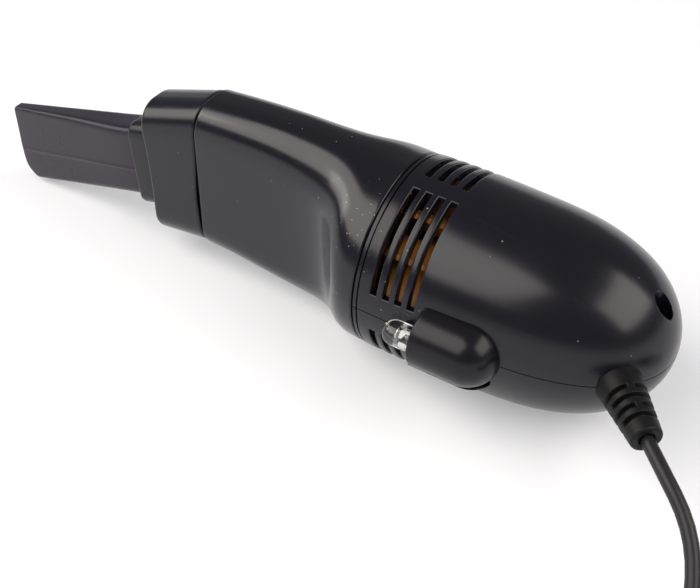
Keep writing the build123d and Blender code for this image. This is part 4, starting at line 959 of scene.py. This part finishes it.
def band(value, start, width, soft):
    """1 from the start over the width, with soft ends, and 0 elsewhere."""
    return step_up(value, start, soft) - step_up(value, start + width, soft)


def relief_radius(reach, angle):
    """The cone's radius, less the grooves: 1 - spine, times each band, times the depth."""
    radius = RELIEF_R + (RELIEF_TIP_R - RELIEF_R) * (reach + 0.2) / RELIEF_LENGTH
    groove = np.zeros_like(reach + angle)
    for index in range(BAND_COUNT):
        across = np.abs(radius * (np.cos(angle) if index % 2 == 0 else np.sin(angle)))
        ring = band(reach, BAND_FIRST + BAND_PITCH * index, BAND_WIDTH, BAND_SOFT)
        groove = groove + ring * step_up(across, SPINE_HALF, SPINE_SOFT)
    return radius - BAND_DEPTH * groove


angle = full_turn(160)[None, :]
tip = RELIEF_LENGTH - 0.2
reach = np.concatenate([np.linspace(RELIEF_BACK, 2.6, 14), np.linspace(BANDED_START, BANDED_END, 115),
                        np.linspace(10.5, tip - TIP_ROUND, 12)])[:, None]
bow = quarter_turn(7)[1:, None]
end_reach = tip - TIP_ROUND + TIP_ROUND * np.sin(bow)
end_r = relief_radius(0 * bow + tip - TIP_ROUND, angle) - TIP_ROUND * (1 - np.cos(bow))
bore = np.array([(tip, 1.6), (tip - 0.12, LEAD_HOLE), (8.0, LEAD_HOLE), (4.0, LEAD_HOLE), (4.0, TINY)])
all_reach = np.concatenate([[[RELIEF_BACK]], reach, end_reach, bore[:, :1]])
all_r = np.concatenate([0 * angle + TINY, relief_radius(reach, angle), end_r, bore[:, 1:] + 0 * angle])
grid = RELIEF_START + all_reach[..., None] * relief_along + (all_r * np.cos(angle))[..., None] * relief_side
grid[..., 2] += all_r * np.sin(angle)
relief = from_grid("strain_relief_skin", grid)
relief_rubber = finish("relief_rubber", (0.0030, 0.0030, 0.0036), 0.50, depth=0.1, spread=0.1, dust=0.2,
                       Specular_IOR_Level=0.26)
finish_piece(relief, "housing", relief_rubber, ["strain_relief"])

# %% [markdown]
# ## Lead
#
# The lead is a soft vinyl cord, 2.6 mm thick and about 1.16 m long. It leaves the sleeve, sags to the
# table in a loose curve and is put away as a flat coil in two layers, out of the camera's view. One NURBS
# line carries it all, because its curvature changes smoothly. Its points are the route's own corners,
# and then 24 points for each turn of the coil.

# %% Lead
CORD_R, CORD_REST = 1.3, 1.35
ROUTE = np.array([(38.99, -14.76, 18.92), (47.57, -24.10, 18.68), (57.97, -32.00, 13.88),
                  (62.47, -43.00, 6.50), (62.66, -53.98, 1.35), (67.80, -60.11, 1.35)])
COIL_TURNS, COIL_PITCH, COIL_LAYER, COIL_MEAN_R, COIL_ANGLE = 5.5, 3.1, 3.1, 15.3, math.radians(220)
INNER_R, OUTER_R = COIL_MEAN_R - COIL_PITCH * COIL_TURNS / 2, COIL_MEAN_R + COIL_PITCH * COIL_TURNS / 2
COIL_START, TAIL_OUT, POINTS_PER_TURN = np.array([69.473, -62.098, 0]), 7.0, 24
COIL_MIDDLE = COIL_START - OUTER_R * np.array([math.cos(COIL_ANGLE), math.sin(COIL_ANGLE), 0])


def coil_points(turns):
    """In towards the middle on the table, up one layer over half a turn, and out again on top."""
    climb = np.clip((turns - COIL_TURNS) / 0.5, 0, 1)
    tail = np.clip((turns - 2 * COIL_TURNS) / 0.5, 0, 1)
    inward = OUTER_R - COIL_PITCH * turns
    rising = INNER_R - COIL_PITCH / (2 * np.pi) * np.sin(np.pi * climb)
    outward = INNER_R + COIL_PITCH * (turns - COIL_TURNS - 0.5) + TAIL_OUT * ease(tail)
    radius = np.where(turns <= COIL_TURNS, inward, np.where(climb < 1, rising, outward))
    height = CORD_REST + COIL_LAYER * ease(climb)
    angle = COIL_ANGLE + 2 * np.pi * turns
    return COIL_MIDDLE + np.stack([radius * np.cos(angle), radius * np.sin(angle), height], -1)


all_turns = 2 * COIL_TURNS + 0.5
coil = coil_points(np.linspace(0, all_turns, int(POINTS_PER_TURN * all_turns) + 1))
plug_along = np.array([math.sin(COIL_ANGLE), -math.cos(COIL_ANGLE), 0])
plug_across = np.array([-plug_along[1], plug_along[0], 0])
plug_tail = coil[-1] + plug_along * 2 * CORD_R
line = np.concatenate([ROUTE, coil, [plug_tail]]) / 1000
lead_data = bpy.data.curves.new("lead", "CURVE")
lead_data.dimensions = "3D"
spline = lead_data.splines.new("NURBS")
spline.points.add(len(line) - 1)
spline.points.foreach_set("co", np.hstack([line, np.ones((len(line), 1))]).ravel())
spline.order_u, spline.resolution_u, spline.use_endpoint_u = 3, 5, True
lead_data.bevel_depth, lead_data.bevel_resolution, lead_data.use_fill_caps = CORD_R / 1000, 5, True
lead = in_scene("lead", lead_data)
cord_vinyl = finish("cord_vinyl", (0.0075, 0.0068, 0.0092), 0.44, depth=0.05, spread=0.08, dust=0.2,
                    Specular_IOR_Level=0.42)
finish_piece(lead, "housing", cord_vinyl, ["cord", "cord_coil"])

# %% [markdown]
# ## Plug
#
# The grip of the plug is moulded over the end of the lead: a ribbed tail, soft shoulders, and a flat body
# with a shallow waist and grip lines for the fingers. It is one surface of rounded sections along a line,
# and width, thickness and corner are read from a few rows, as for the neck. The metal shell and the tongue
# keep their solids.

# %% Plug grip surface
GRIP_ROWS = [
    # place from the tail's end, half width, half thickness, corner radius
    (0, 2.1, 2.1, 2.05), (0.4, 2.25, 2.25, 2.2), (6.6, 2.9, 2.9, 2.85), (7.2, 3.4, 3.1, 2.9),
    (8.2, 5.2, 3.95, 2.4), (9.4, 5.72, 4.24, 1.9), (12.0, 5.78, 4.28, 1.7), (19.0, 5.35, 4.1, 1.6),
    (26.0, 5.78, 4.28, 1.6), (30.2, 5.78, 4.28, 1.6), (30.8, 5.65, 4.15, 1.5), (31.0, 5.3, 3.8, 1.3),
]
# first, pitch, count, width, softness, depth
TAIL_RINGS, GRIP_LINES = (1.2, 1.3, 4, 0.6, 0.2, 0.45), (15.0, 1.6, 5, 0.7, 0.25, 0.3)


def grooves(place, first, pitch, count, width, soft, depth):
    """How deep a row of equal grooves is at each place."""
    return depth * sum(band(place, first + pitch * k, width, soft) for k in range(count))


place = np.concatenate([np.linspace(0, 7.2, 60), np.linspace(7.3, 31.0, 190)])
half, thick, corner = through_rows(GRIP_ROWS, place).T
half = half - grooves(place, *TAIL_RINGS) - grooves(place, *GRIP_LINES)
thick = thick - grooves(place, *TAIL_RINGS)
outline = rounded_outline(half, thick, -thick, np.minimum(corner, thick - 0.05))
grid = plug_tail + place[:, None, None] * plug_along + outline[..., :1] * plug_across
grid[..., 2] += outline[..., 1]
ends = [np.broadcast_to(grid[k].mean(0), grid[k].shape) for k in (0, -1)]
grid = np.concatenate([ends[0][None], grid, ends[1][None]])
grip = new_object("plug_grip_skin", grid / 1000, grid_faces(*grid.shape[:2]))
grip_vinyl = finish("grip_vinyl", (0.010, 0.010, 0.011), 0.42, depth=0.08, spread=0.08, dust=0.2)
finish_piece(grip, "housing", grip_vinyl, ["plug_grip"])

# %% [markdown]
# ## Filter cloth
#
# The cloth is a shallow dome over the filter's bars, and it catches the dust behind the neck. It is part
# of a sphere with a real thickness. A weave of two crossing sets of threads gives it its look, and its
# colour is painted shade that darkens where the threads sink, in step with the bump.

# %% Cloth surface and weave
RIM_R, DOME, CLOTH_BASE, CLOTH_THICK = 14.45, 5.5, -2.8, 0.5
THREADS, THREAD_HEIGHT = 9000.0, 0.0002
ball = (RIM_R**2 + DOME**2) / (2 * DOME)
bow = np.linspace(0, math.asin(RIM_R / ball), 40)
middle = CLOTH_BASE - DOME + ball
outside, inside = [np.stack([middle - r * np.cos(bow), r * np.sin(bow) + TINY], -1)
                   for r in (ball, ball - CLOTH_THICK)]
section = np.concatenate([outside, inside[::-1]])
cloth = from_grid("filter_cloth_dome", round_axis(*section.T, full_turn(96)))


def woven(name, colour, painted_gap_shade):
    """Two crossing sets of round threads, from sines of the y and z places, with painted shade where they
    sink.
    """
    material, tree, shader = new_material(name)
    split = add(tree, "SeparateXYZ", object_place(tree))
    waves = [maths(tree, "SINE", maths(tree, "MULTIPLY", split.outputs[axis], THREADS))
             for axis in ("Y", "Z")]
    level = mapped(tree, maths(tree, "MAXIMUM", *waves), -1.0, 1.0)
    bump = add(tree, "Bump", Strength=0.6, Distance=THREAD_HEIGHT, Height=level)
    # The colour falls to the painted shade colour where the threads sink, in step with the bump: painted
    # shade in the hollows.
    feed(tree, shader, Base_Color=mixed(tree, level, (*painted_gap_shade, 1), (*colour, 1)), Normal=bump.outputs[0],
         Roughness=0.9, Sheen_Weight=0.3)
    return material


# The second colour is the painted shade in the hollows between the threads.
filter_cloth = woven("filter_cloth", (0.72, 0.72, 0.70), (0.30, 0.30, 0.29))
finish_piece(cloth, "housing", filter_cloth, ["filter_cloth"])

# %% [markdown]
# ## Finishes of the solids that keep their shape
#
# The fan, the motor and the small fittings are right as they are, so they only get a real finish each.
# The fan is orange and shows through the vents. Copper and laminated iron get a finer and deeper grain.

# %% Other finishes
KEPT_SOLIDS = [
    # finish, colour, roughness, settings, nodes
    ("fan_orange", (0.52, 0.21, 0.038), 0.38, dict(depth=0.05, tint=0.25, dust=0.3), ["fan"]),
    ("filter_plastic", (0.16, 0.16, 0.17), 0.45, dict(depth=0.05), ["filter_frame"]),
    ("inlet_plastic", (0.03, 0.03, 0.032), 0.45, dict(depth=0.05), ["inlet_ring"]),
    ("mount_plastic", (0.35, 0.35, 0.34), 0.45, dict(depth=0.05), ["motor_mount"]),
    ("steel", (0.58, 0.58, 0.57), 0.3, dict(depth=0.03, spread=0.15, scratches=0.6, Metallic=1.0),
     ["motor_can", "motor_shaft", "motor_screws", "shell_screw", "plug_shell"]),
    ("end_cap_white", (0.70, 0.69, 0.65), 0.45, dict(depth=0.05), ["motor_end_cap"]),
    ("bronze", (0.50, 0.33, 0.16), 0.42, dict(depth=0.08, tint=0.3, Metallic=1.0),
     ["front_bush", "rear_bush"]),
    ("ferrite", (0.05, 0.05, 0.052), 0.6, dict(depth=0.15, tint=0.3), ["motor_magnets"]),
    ("core_steel", (0.35, 0.34, 0.33), 0.4, dict(grain=6000.0, depth=0.2, Metallic=1.0), ["armature_core"]),
    ("copper", (0.72, 0.30, 0.16), 0.3, dict(grain=4000.0, depth=0.3, tint=0.4, Metallic=1.0),
     ["armature_windings", "commutator"]),
    ("resistor_body", (0.45, 0.33, 0.20), 0.45, dict(depth=0.05), ["lamp_resistor"]),
    ("switch_plastic", (0.02, 0.02, 0.02), 0.5, dict(depth=0.05), ["switch_body"]),
    ("knob_plastic", (0.012, 0.012, 0.013), 0.42, dict(depth=0.08), ["switch_knob"]),
    ("wire_red", (0.42, 0.02, 0.018), 0.4, dict(depth=0.03), ["supply_wire_red", "motor_wire_red"]),
    ("wire_black", (0.012, 0.012, 0.012), 0.4, dict(depth=0.03), ["supply_wire_black"]),
    ("tongue_white", (0.78, 0.78, 0.76), 0.42, dict(depth=0.03), ["plug_tongue"]),
    ("gold", (0.85, 0.60, 0.24), 0.22, dict(Metallic=1.0), ["plug_contacts"]),
]


def refinish(node, material):
    """Put one finish in every material slot of a node of the frame."""
    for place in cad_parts[node].material_slots:
        place.material = material


for name, colour, roughness, settings, kept in KEPT_SOLIDS:
    material = finish(name, colour, roughness, **settings)
    for node in kept:
        refinish(node, material)
for node in ("motor_brushes", "lamp_leads", "switch_terminals"):
    refinish(node, tinned)
print("finishes for kept solids", len(KEPT_SOLIDS) + 1)

# %% [markdown]
# ## Floor, light and background
#
# The photograph has a plain white ground with a soft shadow. The floor is a pale matt sheet, and the
# camera, mirrors and clear things see it a little brighter than it is, so it goes to white where no
# shadow falls. The highlights show where the light came from: a large soft box high on the left in front,
# a smaller one low on the left, and one on the right. Nothing shines from behind, so the far flanks stay
# dark. The world is a dim grey sky over a pale band at the horizon, which goes on where the floor ends.

# %% Floor
FLOOR_HALF, FLOOR_Z = 1.5, -0.0002
GLOW_NEAR, GLOW_START, GLOW_FULL, GLOW_STRENGTH = 0.22, 0.5, 1.4, 1.2

paper, tree, shader = new_material("paper_white")
feed(tree, shader, Base_Color=(0.885, 0.90, 0.94, 1), Roughness=0.7, Specular_IOR_Level=0.2)
rays = add(tree, "LightPath").outputs
seen = maths(tree, "MAXIMUM", rays["Is Camera Ray"], rays["Is Glossy Ray"])
seen = maths(tree, "MAXIMUM", seen, rays["Is Transmission Ray"])
away = add(tree, "VectorMath", object_place(tree), operation="LENGTH")
fade = mapped(tree, away.outputs["Value"], GLOW_START, GLOW_FULL, GLOW_NEAR, 1.0,
              interpolation_type="SMOOTHSTEP")
glow = add(tree, "Emission", (1.0, 1.0, 1.0, 1), GLOW_STRENGTH)
blend = add(tree, "MixShader", maths(tree, "MULTIPLY", seen, fade), shader.outputs[0], glow.outputs[0])
feed(tree, tree.nodes["Material Output"], Surface=blend.outputs[0])

floor_mesh = bpy.data.meshes.new("floor")
signs = (-1, -1), (1, -1), (1, 1), (-1, 1)
floor_mesh.from_pydata([(x * FLOOR_HALF, y * FLOOR_HALF, FLOOR_Z) for x, y in signs], [], [(0, 1, 2, 3)])
floor = in_scene("floor", floor_mesh)
floor.data.materials.append(paper)

# %% Lights
LIGHT_DISTANCE = 0.9


def soft_box(name, azimuth, elevation, wide, high, radiance, colour):
    """A rectangle that fills wide by high degrees of the sky, seen from the object, at a given radiance."""
    azimuth, elevation = math.radians(azimuth), math.radians(elevation)
    data = bpy.data.lights.new(name, "AREA")
    data.shape = "RECTANGLE"
    data.size = 2 * LIGHT_DISTANCE * math.tan(math.radians(wide / 2))
    data.size_y = 2 * LIGHT_DISTANCE * math.tan(math.radians(high / 2))
    data.energy = radiance * math.pi * data.size * data.size_y
    data.color = colour
    place = Vector((math.cos(elevation) * math.cos(azimuth), math.cos(elevation) * math.sin(azimuth),
                    math.sin(elevation))) * LIGHT_DISTANCE
    turned = (-place).to_track_quat("-Z", "Y").to_matrix().to_4x4()
    in_scene(name, data).matrix_world = Matrix.Translation(place) @ turned
    print(name, "power", round(data.energy, 2))


soft_box("left_box", -128, 49, 52, 42, 3.6, (1.0, 0.95, 0.89))
soft_box("low_left_box", -163, 31, 26, 26, 3.5, (1.0, 0.95, 0.88))
soft_box("right_box", 8, 42, 52, 34, 3.9, (1.0, 0.94, 0.89))

# %% World
HORIZON, SKY_START, SKY_STRENGTH = 0.04, 0.11, 0.22
world = bpy.data.worlds.new("studio")
bpy.context.scene.world = world
world.use_nodes = True
tree = world.node_tree
split = add(tree, "SeparateXYZ", add(tree, "TexCoord").outputs["Generated"])
level = mapped(tree, split.outputs["Z"], HORIZON, SKY_START, 1.0, SKY_STRENGTH,
               interpolation_type="SMOOTHSTEP")
feed(tree, tree.nodes["Background"], (0.93, 0.96, 1.0, 1), level)
bpy.context.scene.view_settings.view_transform = "Standard"
